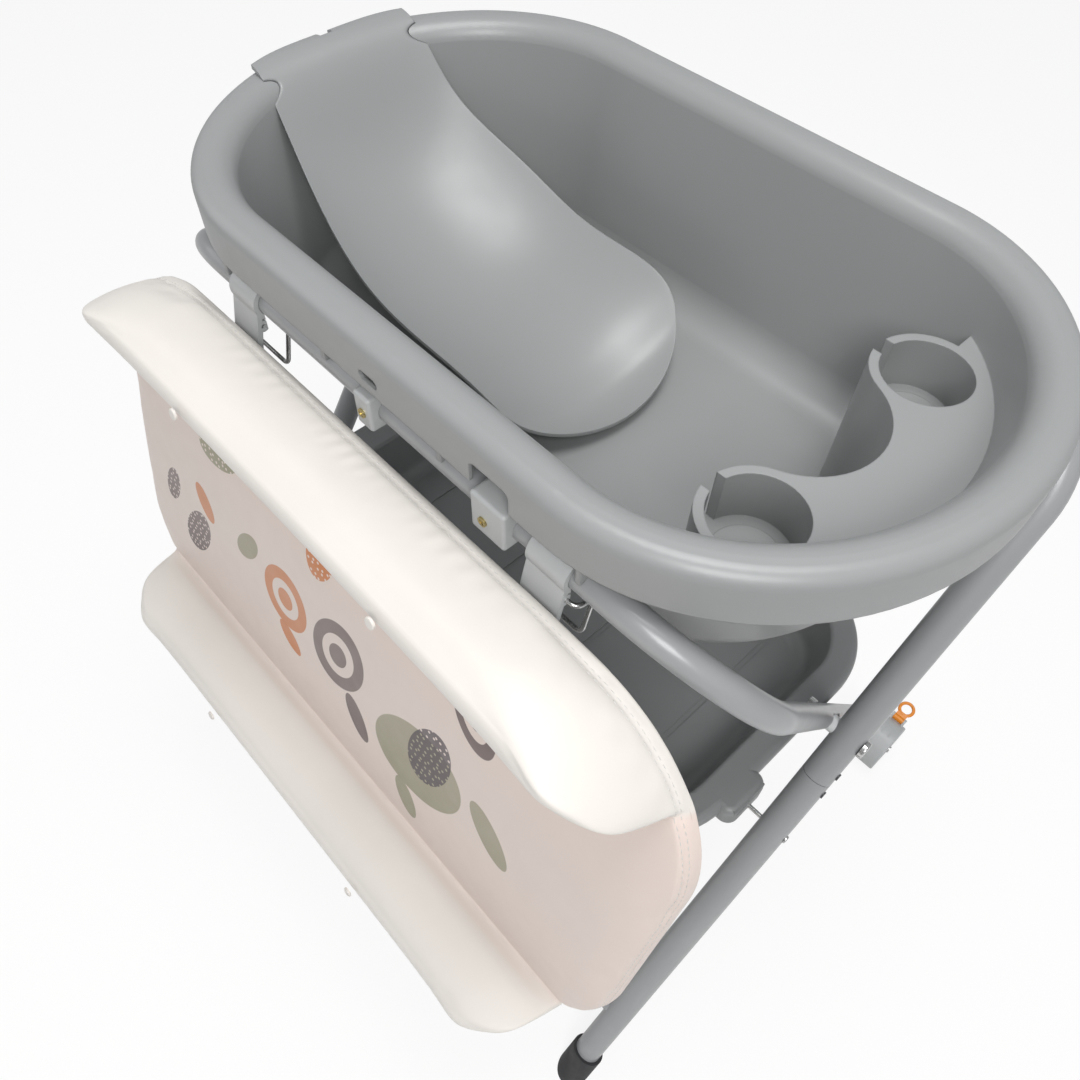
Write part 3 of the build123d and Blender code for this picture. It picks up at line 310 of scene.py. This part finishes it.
def plated(name, colour, roughness, streak=(40.0, 900.0, 900.0)):
    """Bright plated metal with fine streaks along X."""
    material, tree, shader = new_material(name)
    place = add_node(tree, "ShaderNodeTexCoord").outputs["Object"]
    stretched = add_node(tree, "ShaderNodeMapping", {"Vector": place, "Scale": streak}).outputs[0]
    drawn_out = {"Vector": stretched, "Scale": 1.0, "Detail": 3.0}
    streaks = add_node(tree, "ShaderNodeTexNoise", drawn_out).outputs[0]
    stain = add_node(tree, "ShaderNodeTexNoise", {"Vector": place, "Scale": 70.0, "Detail": 5.0}).outputs[0]
    colour_out = mix_colour(
        tree, map_range(tree, stain, 0.35, 0.75), solid(colour), solid(shade(colour, 0.74))
    )
    tree.links.new(colour_out, shader.inputs["Base Color"])
    rough = map_range(tree, streaks, 0.25, 0.75, roughness - 0.06, roughness + 0.10)
    tree.links.new(rough, shader.inputs["Roughness"])
    shader.inputs["Metallic"].default_value = 1.0
    bump_from(tree, shader, streaks, 0.02 * MM)
    return material


def rubbery(name, colour):
    material, tree, shader = new_material(name)
    place = add_node(tree, "ShaderNodeTexCoord").outputs["Object"]
    grain = add_node(tree, "ShaderNodeTexNoise", {"Vector": place, "Scale": 650.0, "Detail": 3.0}).outputs[0]
    dust = add_node(tree, "ShaderNodeTexNoise", {"Vector": place, "Scale": 26.0, "Detail": 6.0}).outputs[0]
    dusty = mix_colour(tree, map_range(tree, dust, 0.45, 0.8, 0, 0.5), solid(colour), (0.16, 0.155, 0.15, 1))
    tree.links.new(dusty, shader.inputs["Base Color"])
    tree.links.new(map_range(tree, dust, 0.3, 0.7, 0.62, 0.82), shader.inputs["Roughness"])
    bump_from(tree, shader, grain, 0.12 * MM)
    return material


def new_piece(name, mesh):
    """Puts a finished bmesh into the scene as an object."""
    data = bpy.data.meshes.new(name)
    mesh.to_mesh(data)
    mesh.free()
    piece = bpy.data.objects.new(name, data)
    bpy.context.scene.collection.objects.link(piece)
    return piece


def smooth_shading(piece):
    for polygon in piece.data.polygons:
        polygon.use_smooth = True


def paint_node(name, material):
    """Gives a CAD node its finish."""
    piece = nodes[name]
    piece.data.materials.clear()
    piece.data.materials.append(material)


class BATHTABLE_OT_bath(bpy.types.Operator):
    """Finishes the tub, drain plug, seat insert and storage tray"""

    bl_idname = "bathtable.bath"
    bl_label = "Bath and tray"

    def execute(self, context):
        look = settings("bath_plastic")
        tub = moulded("tub_plastic", look.bath_grey, 0.36, grain_depth=0.02 * MM, edge_radius=1.8 * MM)
        tray = moulded("tray_plastic", shade(look.bath_grey, 0.9), 0.4, grain_depth=0.05 * MM)
        paint_node("tub_basin", tub)
        paint_node("drain_plug", tub)
        paint_node("seat_insert", tub)
        paint_node("storage_tray", tray)
        return {"FINISHED"}


class BATHTABLE_OT_frame(bpy.types.Operator):
    """Finishes the folding frame, its fasteners and its rubber feet"""

    bl_idname = "bathtable.frame"
    bl_label = "Folding frame"

    def execute(self, context):
        metal = settings("frame_metal")
        plastic = settings("bath_plastic")
        coat = powder_coated("tube_coat", metal.tube_grey, 0.3)
        steel = plated("bright_zinc", metal.steel, 0.24)
        for name in ("outer_frame_upper", "inner_frame_upper", "lower_crossbar"):
            paint_node(name, coat)
        for end in ("head", "foot"):
            paint_node("outer_leg_lower_" + end, coat)
            paint_node("inner_leg_lower_" + end, coat)
            paint_node("rubber_foot_" + end, rubbery("foot_rubber_" + end, metal.rubber))
        for name in ("pivot_bolts", "pivot_nuts", "tray_pins_near", "tray_pins_far", "saddle_screws"):
            paint_node(name, steel)
        dark = powder_coated("rivet_coat", metal.rivet, 0.35)
        paint_node("outer_leg_rivets", dark)
        paint_node("inner_leg_rivets", dark)
        paint_node("pivot_spacers", moulded("spacer_plastic", plastic.spacer_grey, 0.4))
        return {"FINISHED"}


class BATHTABLE_OT_clips(bpy.types.Operator):
    """Finishes the rim clips, hinge clips, saddles and wire bails"""

    bl_idname = "bathtable.clips"
    bl_label = "Clips and saddles"

    def execute(self, context):
        metal = settings("frame_metal")
        grey = settings("bath_plastic").clip_grey
        clip = moulded("clip_plastic", grey, 0.38, grain_size=1200.0, edge_radius=0.8 * MM)
        for name in ("rim_clip", "rim_latch", "hinge_clips", "mat_saddle_head", "mat_saddle_foot"):
            paint_node(name, clip)
        paint_node("clip_screws", plated("yellow_zinc", metal.brass, 0.28))
        wire = plated("wire_zinc", metal.steel, 0.2, streak=(900.0, 900.0, 900.0))
        paint_node("wire_bail_head", wire)
        paint_node("wire_bail_foot", wire)
        return {"FINISHED"}


class BATHTABLE_OT_wheels(bpy.types.Operator):
    """Finishes the castor wheels, housings, axles and brake levers"""

    bl_idname = "bathtable.wheels"
    bl_label = "Wheels and brakes"

    def execute(self, context):
        look = settings("bath_plastic")
        wheel = moulded("wheel_plastic", look.wheel_grey, 0.55, grain_depth=0.1 * MM)
        housing = moulded("housing_plastic", look.clip_grey, 0.4)
        lever = moulded("brake_plastic", look.brake_orange, 0.3, drift=0.08)
        steel = plated("axle_zinc", settings("frame_metal").steel, 0.26)
        for end in ("head", "foot"):
            paint_node("wheel_" + end, wheel)
            paint_node("wheel_housing_" + end, housing)
            paint_node("wheel_axle_" + end, steel)
            paint_node("brake_lever_" + end, lever)
        return {"FINISHED"}


# The hanging mat


def mat_frame():
    """The mat's middle on its floor, its direction up the mat and its direction out of the face."""
    look = settings("hanging_mat")
    low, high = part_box("mat_board")
    up = Vector((0, math.sin(look.tilt), math.cos(look.tilt)))
    out = Vector((0, -math.cos(look.tilt), math.sin(look.tilt)))
    return (low + high) / 2 + out * look.board_back, up, out


def build_oval_group():
    """How far a place is inside an oval: 1 within, 0 outside, with a crisp printed edge."""
    group, start, end = new_group(
        "Printed oval",
        [
            ("Place", "NodeSocketVector", (0, 0, 0)),
            ("Centre", "NodeSocketVector", (0, 0, 0)),
            ("Turn", "NodeSocketFloat", 0.0),
            ("Size", "NodeSocketVector", (0.03, 0.02, 1)),
        ],
        [("Mask", "NodeSocketFloat"), ("Inside", "NodeSocketVector")],
    )
    turned = add_node(
        group,
        "ShaderNodeVectorRotate",
        {"Vector": start.outputs["Place"], "Center": start.outputs["Centre"], "Angle": start.outputs["Turn"]},
        rotation_type="Z_AXIS",
    ).outputs[0]
    places = {0: turned, 1: start.outputs["Centre"]}
    offset = add_node(group, "ShaderNodeVectorMath", places, operation="SUBTRACT")
    share = add_node(
        group, "ShaderNodeVectorMath", {0: offset.outputs[0], 1: start.outputs["Size"]}, operation="DIVIDE"
    )
    length = add_node(group, "ShaderNodeVectorMath", {0: share.outputs[0]}, operation="LENGTH")
    reach = length.outputs["Value"]
    group.links.new(map_range(group, reach, 1.01, 0.99), end.inputs["Mask"])
    group.links.new(offset.outputs[0], end.inputs["Inside"])
    return group


def oval(tree, place, centre, turn, size):
    node = tree.nodes.new("ShaderNodeGroup")
    node.node_tree = effect("Printed oval", build_oval_group)
    tree.links.new(place, node.inputs["Place"])
    node.inputs["Centre"].default_value = (centre[0], centre[1], 0)
    node.inputs["Turn"].default_value = math.radians(turn)
    node.inputs["Size"].default_value = (size[0], size[1], 1)
    return node.outputs["Mask"], node.outputs["Inside"]


def dots(tree, inside, pitch, radius):
    """Small dots in rows, in the coordinates of the shape that carries them."""
    scaled = add_node(tree, "ShaderNodeVectorMath", {0: inside, "Scale": 1 / pitch}, operation="SCALE")
    spread_out = {"Vector": scaled.outputs[0], "Scale": 1.0, "Randomness": 0.55}
    voronoi = add_node(tree, "ShaderNodeTexVoronoi", spread_out, voronoi_dimensions="2D")
    cells = voronoi.outputs["Distance"]
    return map_range(tree, cells, radius / pitch, radius / pitch * 0.8)


# Ovals in a loose row: middle along and up the mat, turn, half sizes, colour name and what is on it.
motifs = (
    (-0.306, -0.030, 20, (0.013, 0.028), "taupe", "dots"),
    (-0.259, -0.066, 30, (0.021, 0.042), "taupe", "dots"),
    (-0.236, -0.004, -35, (0.013, 0.024), "orange", "plain"),
    (-0.153, 0.002, 40, (0.014, 0.026), "sage", "plain"),
    (-0.085, -0.015, 10, (0.037, 0.040), "orange", "ring"),
    (-0.078, -0.070, -50, (0.012, 0.022), "orange", "plain"),
    (0.004, -0.012, 25, (0.038, 0.050), "taupe", "ring"),
    (0.038, -0.078, -30, (0.014, 0.030), "taupe", "plain"),
    (0.128, -0.042, 60, (0.050, 0.064), "sage", "plain"),
    (0.142, -0.014, 15, (0.026, 0.046), "plum", "dots"),
    (0.118, -0.122, -20, (0.014, 0.030), "sage", "plain"),
    (0.226, -0.030, -45, (0.016, 0.036), "sage", "plain"),
    (-0.200, 0.094, 70, (0.022, 0.038), "sage", "dots"),
    (-0.030, 0.096, 15, (0.020, 0.034), "orange", "dots"),
    (0.180, 0.096, -30, (0.024, 0.040), "taupe", "ring"),
)


def mat_cover_material():
    """Coated cover, tinted and darkened with painted shade between the bolsters, with the motifs printed
    there.
    """
    tint_and_shade_edge = 3 * MM
    tint_and_shade_top = 16 * MM
    tint_and_shade_full = 8 * MM
    tint_and_shade_strength = 0.75
    ring_share = 0.62
    core_share = 0.34
    dot_pitch = 7.5 * MM
    dot_radius = 1.7 * MM
    look = settings("hanging_mat")
    material, tree, shader = new_material("mat_cover")
    middle, up, out = mat_frame()
    place = add_node(tree, "ShaderNodeTexCoord").outputs["Object"]
    shift = add_node(tree, "ShaderNodeVectorMath", {0: place, 1: middle}, operation="SUBTRACT")
    local = shift.outputs[0]
    along = add_node(tree, "ShaderNodeSeparateXYZ", {0: local}).outputs["X"]
    upward = add_node(tree, "ShaderNodeVectorMath", {0: local, 1: up}, operation="DOT_PRODUCT")
    outward = add_node(tree, "ShaderNodeVectorMath", {0: local, 1: out}, operation="DOT_PRODUCT")
    height = upward.outputs["Value"]
    depth = outward.outputs["Value"]
    flat = add_node(tree, "ShaderNodeCombineXYZ", {"X": along, "Y": height}).outputs[0]
    cloud = add_node(tree, "ShaderNodeTexNoise", {"Vector": place, "Scale": 6.0, "Detail": 4.0}).outputs[0]
    cover = mix_colour(
        tree, map_range(tree, cloud, 0.3, 0.7), solid(look.cover), solid(shade(look.cover, 0.955))
    )
    from_middle = math_node(tree, "ABSOLUTE", height)
    # The low floor between the bolsters gets a darker, pinker colour: partly the fabric's tint, partly
    # painted shade in the hollow.
    on_floor = map_range(tree, from_middle, look.valley + tint_and_shade_edge, look.valley - tint_and_shade_edge)
    low_face = map_range(tree, depth, tint_and_shade_top, tint_and_shade_full)
    floor = math_node(tree, "MULTIPLY", on_floor, low_face)
    tint_and_shade = math_node(tree, "MULTIPLY", floor, tint_and_shade_strength)
    colour = mix_colour(tree, tint_and_shade, cover, solid(look.floor_tint_and_shade))
    for x, y, turn, size, name, filling in motifs:
        mask, inside = oval(tree, flat, (x, y), turn, size)
        if filling == "ring":
            inner, _ = oval(tree, flat, (x, y), turn, (size[0] * ring_share, size[1] * ring_share))
            core, _ = oval(tree, flat, (x, y), turn, (size[0] * core_share, size[1] * core_share))
            mask = math_node(tree, "ADD", math_node(tree, "SUBTRACT", mask, inner), core)
        if filling == "dots":
            holes = dots(tree, inside, dot_pitch, dot_radius)
            mask = math_node(tree, "MULTIPLY", mask, math_node(tree, "SUBTRACT", 1.0, holes))
        mask = math_node(tree, "MULTIPLY", mask, floor)
        colour = mix_colour(tree, mask, colour, solid(getattr(look, name)))
    tree.links.new(colour, shader.inputs["Base Color"])
    fine = add_node(tree, "ShaderNodeTexNoise", {"Vector": place, "Scale": 1500.0, "Detail": 2.0}).outputs[0]
    soft = add_node(tree, "ShaderNodeTexNoise", {"Vector": place, "Scale": 45.0, "Detail": 3.0}).outputs[0]
    lumps = math_node(tree, "MULTIPLY", soft, 0.5)
    lumps = math_node(tree, "ADD", math_node(tree, "MULTIPLY", fine, 0.06), lumps)
    bump_from(tree, shader, lumps, 0.9 * MM, strength=0.5)
    tree.links.new(map_range(tree, soft, 0.3, 0.7, 0.42, 0.52), shader.inputs["Roughness"])
    shader.inputs["Sheen Weight"].default_value = 0.12
    return material


def soft_min(first, second, width):
    """The lower of two heights, with the corner between them rounded off."""
    share = max(width - abs(first - second), 0) / width
    return min(first, second) - share * share * width / 4


def mat_height(x, v):
    """Height of the mat's face over its floor: crowned floor, two bolsters, all sloping off to the ends."""
    look = settings("hanging_mat")
    shoulder = math.radians(20)
    side_curve = 1.7
    end_swell = 0.26
    corner_blend = 14 * MM
    across = abs(v)
    inner = look.crest - look.crest_radius * math.cos(shoulder)
    if across <= look.valley:
        over = look.crown * (1 - (across / look.valley) ** 2)
    elif across <= inner:
        share = (across - look.valley) / (inner - look.valley)
        top = look.bolster - look.crest_radius * (1 - math.sin(shoulder))
        over = top * (1 - (1 - share) ** side_curve)
    else:
        off = min(abs(across - look.crest), look.crest_radius)
        over = look.bolster - look.crest_radius + math.sqrt(look.crest_radius**2 - off**2)
    slope = max(abs(x) - look.level, 0) / (look.half_length - look.level)
    drop = look.bolster - look.end_height
    ends = look.bolster - drop * slope + end_swell * drop * slope * (1 - slope)
    return soft_min(over, ends, corner_blend)


def spread(stops, pitch):
    """Evenly filled places between stops, no further apart than the pitch, mirrored about zero."""
    places = [0.0]
    for start, end in zip(stops, stops[1:]):
        count = max(1, math.ceil((end - start) / pitch(start)))
        places += [start + (end - start) * (number + 1) / count for number in range(count)]
    return [-place for place in reversed(places[1:])] + places


def sewn_cover(name):
    """The mat's cover as one closed sheet: rows along the mat, sides run down to the back."""
    floor_pitch = 13 * MM
    bolster_pitch = 3 * MM
    valley_margin = 6 * MM
    side_bulge = 3.6 * MM
    tucked_under = 12 * MM
    side_shares = [0.04, 0.1, 0.2, 0.33, 0.47, 0.61, 0.75, 0.87, 0.95, 1.0, 1.0]
    corner_angles = (78, 82, 86, 90)
    look = settings("hanging_mat")
    middle, up, out = mat_frame()
    corner = look.corner - look.draw_in
    half_width = look.half_width - look.draw_in
    straight = look.half_length - look.corner
    turn_from = half_width - corner
    arc_stops = [turn_from + corner * math.sin(math.radians(angle)) for angle in corner_angles]
    rows = spread(
        [0.0, look.valley - valley_margin, look.valley + valley_margin, *arc_stops],
        lambda start: bolster_pitch if start else floor_pitch,
    )
    count = 2 * math.ceil(look.half_length / look.cloth_pitch)
    mesh = bmesh.new()
    bmesh.ops.create_grid(mesh, x_segments=count, y_segments=len(rows) - 1, size=1)
    top_layer = mesh.verts.layers.float_vector.new("top")
    for vertex in mesh.verts:
        v = rows[round((vertex.co.y + 1) / 2 * (len(rows) - 1))]
        over = min(max(abs(v) - turn_from, 0), corner)
        reach = straight + math.sqrt(corner**2 - over**2)
        x = vertex.co.x * reach
        vertex[top_layer] = (x, v, mat_height(x, v))
        vertex.co = vertex[top_layer]
    edge = [line for line in mesh.edges if line.is_boundary]
    for number, share in enumerate(side_shares):
        made = bmesh.ops.extrude_edge_only(mesh, edges=edge)["geom"]
        edge = [item for item in made if isinstance(item, bmesh.types.BMEdge)]
        for vertex in (item for item in made if isinstance(item, bmesh.types.BMVert)):
            x, v, top = vertex[top_layer]
            _, away_x, away_v = outline_distance(x, v)
            fall = top - look.base
            bulge = side_bulge * math.sin(math.pi * share) * fall / (look.bolster - look.base)
            push = look.draw_in * math.sqrt(share) + bulge
            if number == len(side_shares) - 1:
                push -= tucked_under
            vertex.co = (x + away_x * push, v + away_v * push, top - fall * share)
    bmesh.ops.holes_fill(mesh, edges=edge, sides=0)
    bmesh.ops.recalc_face_normals(mesh, faces=mesh.faces)
    for vertex in mesh.verts:
        x, v, n = vertex.co
        vertex.co = middle + Vector((x, 0, 0)) + up * v + out * n
    return new_piece(name, mesh)


def inflate(piece, cap, fixed):
    """Lets the cover swell like a stuffed one in a short cloth simulation, no point moving past the cap."""
    last_frame = 20
    scene = bpy.context.scene
    rest = [vertex.co.copy() for vertex in piece.data.vertices]
    group = piece.vertex_groups.new(name="fixed")
    group.add([i for i, co in enumerate(rest) if fixed(co)], 1.0, "REPLACE")
    cloth = piece.modifiers.new("stuffing", "CLOTH")
    cloth.settings.use_pressure = True
    cloth.settings.uniform_pressure_force = 4.0
    cloth.settings.effector_weights.gravity = 0.0
    cloth.settings.vertex_group_mass = "fixed"
    cloth.settings.tension_stiffness = 25
    cloth.settings.compression_stiffness = 25
    cloth.point_cache.frame_start = 1
    cloth.point_cache.frame_end = last_frame
    for number in range(1, last_frame + 1):
        scene.frame_set(number)
    shaped = piece.evaluated_get(bpy.context.evaluated_depsgraph_get())
    swollen = [vertex.co.copy() for vertex in shaped.data.vertices]
    piece.modifiers.remove(cloth)
    scene.frame_set(1)
    for vertex, start, end in zip(piece.data.vertices, rest, swollen):
        move = end - start
        if move.length > cap:
            move *= cap / move.length
        vertex.co = start + move


def keep_only_mesh(piece):
    """Applies the piece's modifiers to its mesh."""
    depsgraph = bpy.context.evaluated_depsgraph_get()
    shaped = bpy.data.meshes.new_from_object(piece.evaluated_get(depsgraph))
    piece.modifiers.clear()
    piece.data = shaped


def mat_outline(step):
    """Points round the mat's plan, evenly spaced, each with the angle of the way straight out."""
    look = settings("hanging_mat")
    radius = look.corner
    straight = look.half_length - radius
    upright = look.half_width - radius
    parts = []
    for turn, centre, side in (
        (0, (straight, upright), 2 * straight),
        (90, (-straight, upright), 2 * upright),
        (180, (-straight, -upright), 2 * straight),
        (270, (straight, -upright), 2 * upright),
    ):
        parts.append(("arc", math.radians(turn), centre, radius * math.pi / 2))
        parts.append(("line", math.radians(turn + 90), centre, side))
    total = sum(part[3] for part in parts)
    count = round(total / step)
    points = []
    for number in range(count):
        left = total * number / count
        for kind, turn, centre, length in parts:
            if left <= length:
                break
            left -= length
        if kind == "arc":
            angle = turn + left / radius
            x = centre[0] + radius * math.cos(angle)
            y = centre[1] + radius * math.sin(angle)
        else:
            angle = turn
            x = centre[0] + radius * math.cos(turn) - left * math.sin(turn)
            y = centre[1] + radius * math.sin(turn) + left * math.cos(turn)
        points.append((x, y, angle))
    return points


def outline_distance(x, y):
    """How far a place in the mat's plan lies inside its outline, and the way straight out from there."""
    look = settings("hanging_mat")
    over_x = abs(x) - (look.half_length - look.corner)
    over_y = abs(y) - (look.half_width - look.corner)
    outside = math.hypot(max(over_x, 0), max(over_y, 0)) + min(max(over_x, over_y), 0)
    if over_x > 0 and over_y > 0:
        away = (over_x / outside, over_y / outside)
    elif over_x > over_y:
        away = (1, 0)
    else:
        away = (0, 1)
    return look.corner - outside, math.copysign(away[0], x), math.copysign(away[1], y)


def dress_mat(piece):
    """Sewn seam round the edge, gathers beside it, drawn-in valleys and dimples under the buttons."""
    side_reach = 22 * MM
    seam_width = 2.6 * MM
    seam_sink = 1.1 * MM
    gather_offset = 10 * MM
    gather_width = 9 * MM
    gather_depth = 0.5 * MM
    gathers_round = 95
    swells_round = 13
    swell_share = 0.4
    valley_width = 4 * MM
    valley_sink = 1.4 * MM
    valley_low = -12 * MM
    valley_high = 20 * MM
    look = settings("hanging_mat")
    middle, up, out = mat_frame()
    for vertex in piece.data.vertices:
        local = vertex.co - middle
        x = local.x
        v = local.dot(up)
        n = local.dot(out)
        inside, away_x, away_v = outline_distance(x, v)
        away = Vector((away_x, 0, 0)) + up * away_v
        side = max(0.0, 1 - inside / side_reach)
        seam = math.exp(-(((n - look.seam_depth) / seam_width) ** 2))
        gathers = math.exp(-(((n - look.seam_depth - gather_offset) / gather_width) ** 2))
        around = math.atan2(v, x)
        swell = 1 - swell_share + swell_share * math.sin(around * swells_round)
        wave = math.sin(around * gathers_round) * swell
        push = side * (gather_depth * gathers * wave - seam_sink * seam)
        low_lying = 1 if valley_low < n < valley_high else 0
        valley = math.exp(-(((abs(v) - look.valley) / valley_width) ** 2)) * low_lying
        off = math.hypot(abs(x) - look.button_along, abs(v) - look.crest)
        pulled = math.exp(-((off / look.button_pull) ** 3)) if n > look.bolster / 2 else 0
        sunk = pulled * max(n - look.button_seat, 0)
        vertex.co = vertex.co + away * push - out * (valley_sink * valley + sunk)


def sew(name, piece, depth):
    """A row of stitches round the mat's side, at a depth from the mat's floor."""
    flattened = 0.9
    raised = 0.1
    look = settings("hanging_mat")
    middle, up, out = mat_frame()
    surface = BVHTree.FromObject(piece, bpy.context.evaluated_depsgraph_get())
    mesh = bmesh.new()
    for x, y, angle in mat_outline(look.stitch_pitch):
        away = Vector((math.cos(angle), 0, 0)) + up * math.sin(angle)
        start = middle + Vector((x, 0, 0)) + up * y + out * depth + away * look.corner
        hit, normal, _, _ = surface.ray_cast(start, -away)
        if hit is None:
            raise RuntimeError("a stitch misses the cover")
        heading = Vector((-math.sin(angle), 0, 0)) + up * math.cos(angle)
        side = normal.cross(heading).normalized()
        heading = side.cross(normal).normalized()
        made = bmesh.ops.create_uvsphere(mesh, u_segments=6, v_segments=4, radius=0.5)
        size = (look.thread, look.stitch_length, look.thread * flattened)
        bmesh.ops.scale(mesh, verts=made["verts"], vec=size)
        for vertex in made["verts"]:
            co = vertex.co.copy()
            vertex.co = hit + side * co.x + heading * co.y + normal * (co.z + look.thread * raised)
    bmesh.ops.recalc_face_normals(mesh, faces=mesh.faces)
    stitches = new_piece(name, mesh)
    smooth_shading(stitches)
    return stitches


class BATHTABLE_OT_mat(bpy.types.Operator):
    """Makes the padded mat's cover, its seams and stitches, and finishes its board and buttons"""

    bl_idname = "bathtable.mat"
    bl_label = "Changing mat"

    def execute(self, context):
        look = settings("hanging_mat")
        middle, up, out = mat_frame()
        valley_half = 3 * MM
        valley_top = 12 * MM
        back_margin = 3 * MM
        cover = sewn_cover("mat_cover")

        def sewn_down(co):
            local = co - middle
            depth = local.dot(out)
            in_valley = abs(abs(local.dot(up)) - look.valley) < valley_half and depth < valley_top
            return in_valley or depth < look.base + back_margin

        inflate(cover, look.swell, sewn_down)
        finer = cover.modifiers.new("finer", "SUBSURF")
        finer.levels = 2
        finer.render_levels = 2
        keep_only_mesh(cover)
        dress_mat(cover)
        smooth_shading(cover)
        cover.data.materials.append(mat_cover_material())
        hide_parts("mat_pad")
        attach(cover, "mat")
        thread = moulded("sewing_thread", look.thread_colour, 0.7, grain_size=2500.0)
        for name, step in (("mat_seam_back", -1), ("mat_seam_front", 1)):
            stitches = sew(name, cover, look.seam_depth + step * look.seam_spacing / 2)
            stitches.data.materials.append(thread)
            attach(stitches, "mat")
        paint_node("mat_board", moulded("board_plastic", settings("bath_plastic").board_grey, 0.6))
        paint_node("mat_tufts", moulded("button_plastic", look.cover, 0.4))
        return {"FINISHED"}


class BATHTABLE_OT_studio(bpy.types.Operator):
    """Sets up the pale floor, the soft lights, the white surroundings and the camera"""

    bl_idname = "bathtable.studio"
    bl_label = "Studio"

    def execute(self, context):
        look = settings("studio")
        scene = context.scene
        scene.view_settings.view_transform = "Standard"
        mesh = bmesh.new()
        bmesh.ops.create_grid(mesh, x_segments=1, y_segments=1, size=12)
        floor = new_piece("studio_floor", mesh)
        floor.data.materials.append(self.floor_material(look))
        self.surround_with_white(scene)
        self.area_light("window", place=(1.5, -1.3, 2.5), target=(0.1, 0, 0.8), size=1.1, power=40)
        self.area_light("ceiling", place=(0.2, 0.15, 3.0), target=(0.1, 0, 0.6), size=1.1, power=34)
        self.area_light("room", place=(-2.2, -1.4, 1.8), target=(0, 0, 0.6), size=1.8, power=9)
        camera = bpy.data.objects.new("photo_camera", bpy.data.cameras.new("photo_camera"))
        camera.data.lens = look.lens
        camera.data.sensor_width = 36
        camera.data.clip_start = 0.05
        camera.location = look.camera_place
        camera.rotation_euler = Euler(look.camera_turn)
        scene.collection.objects.link(camera)
        scene.camera = camera
        return {"FINISHED"}

    def floor_material(self, look):
        seen_glow = 0.86
        material, tree, shader = new_material("studio_floor")
        shader.inputs["Roughness"].default_value = 0.9
        place = add_node(tree, "ShaderNodeTexCoord").outputs["Object"]
        uneven = {"Vector": place, "Scale": 3.0, "Detail": 2.0}
        speck = add_node(tree, "ShaderNodeTexNoise", uneven).outputs[0]
        tone = mix_colour(tree, speck, solid(look.floor_colour), solid(shade(look.floor_colour, 0.985)))
        tree.links.new(tone, shader.inputs["Base Color"])
        glow = add_node(tree, "ShaderNodeEmission", {"Color": (1, 1, 1, 1), "Strength": 1.0})
        seen = add_node(tree, "ShaderNodeLightPath").outputs["Is Camera Ray"]
        share = math_node(tree, "MULTIPLY", seen, seen_glow)
        blend = add_node(tree, "ShaderNodeMixShader", {0: share, 1: shader.outputs[0], 2: glow.outputs[0]})
        tree.links.new(blend.outputs[0], tree.nodes["Material Output"].inputs["Surface"])
        return material

    def surround_with_white(self, scene):
        world = bpy.data.worlds.new("white_room")
        world.use_nodes = True
        scene.world = world
        tree = world.node_tree
        path = add_node(tree, "ShaderNodeLightPath")
        seen = math_node(tree, "MAXIMUM", path.outputs["Is Camera Ray"], path.outputs["Is Transmission Ray"])
        background = tree.nodes["Background"]
        background.inputs["Color"].default_value = (0.95, 0.97, 1.0, 1)
        background.inputs["Strength"].default_value = 0.42
        white = add_node(tree, "ShaderNodeBackground", {"Color": (1, 1, 1, 1), "Strength": 1.0})
        seen_or_not = {0: seen, 1: background.outputs[0], 2: white.outputs[0]}
        blend = add_node(tree, "ShaderNodeMixShader", seen_or_not)
        tree.links.new(blend.outputs[0], tree.nodes["World Output"].inputs["Surface"])

    def area_light(self, name, place, target, size, power):
        lamp = bpy.data.lights.new(name, "AREA")
        lamp.size = size
        lamp.energy = power
        holder = bpy.data.objects.new(name, lamp)
        holder.location = place
        holder.rotation_euler = (Vector(target) - Vector(place)).to_track_quat("-Z", "Y").to_euler()
        bpy.context.scene.collection.objects.link(holder)


operators = (
    BATHTABLE_OT_bath,
    BATHTABLE_OT_frame,
    BATHTABLE_OT_clips,
    BATHTABLE_OT_wheels,
    BATHTABLE_OT_mat,
    BATHTABLE_OT_studio,
)
setting_groups = (
    ("bath_plastic", PlasticSettings),
    ("frame_metal", MetalSettings),
    ("hanging_mat", MatSettings),
    ("studio", StudioSettings),
)


class BATHTABLE_PT_panel(bpy.types.Panel):
    """Lists the pieces and the studio"""

    bl_idname = "BATHTABLE_PT_panel"
    bl_label = "Bath table"
    bl_space_type = "VIEW_3D"
    bl_region_type = "UI"
    bl_category = "Bath table"

    def draw(self, context):
        for operator in operators:
            self.layout.operator(operator.bl_idname)
        for name, _ in setting_groups:
            box = self.layout.box()
            values = getattr(context.scene, name)
            for key in values.__annotations__:
                box.prop(values, key)


def register():
    for name, group in setting_groups:
        bpy.utils.register_class(group)
        setattr(bpy.types.Scene, name, PointerProperty(type=group))
    for operator in operators:
        bpy.utils.register_class(operator)
    bpy.utils.register_class(BATHTABLE_PT_panel)


def unregister():
    bpy.utils.unregister_class(BATHTABLE_PT_panel)
    for operator in reversed(operators):
        bpy.utils.unregister_class(operator)
    for name, group in reversed(setting_groups):
        delattr(bpy.types.Scene, name)
        bpy.utils.unregister_class(group)


def main():
    register()
    bpy.ops.bathtable.bath()
    bpy.ops.bathtable.frame()
    bpy.ops.bathtable.clips()
    bpy.ops.bathtable.wheels()
    bpy.ops.bathtable.mat()
    bpy.ops.bathtable.studio()


if __name__ == "__main__":
    main()
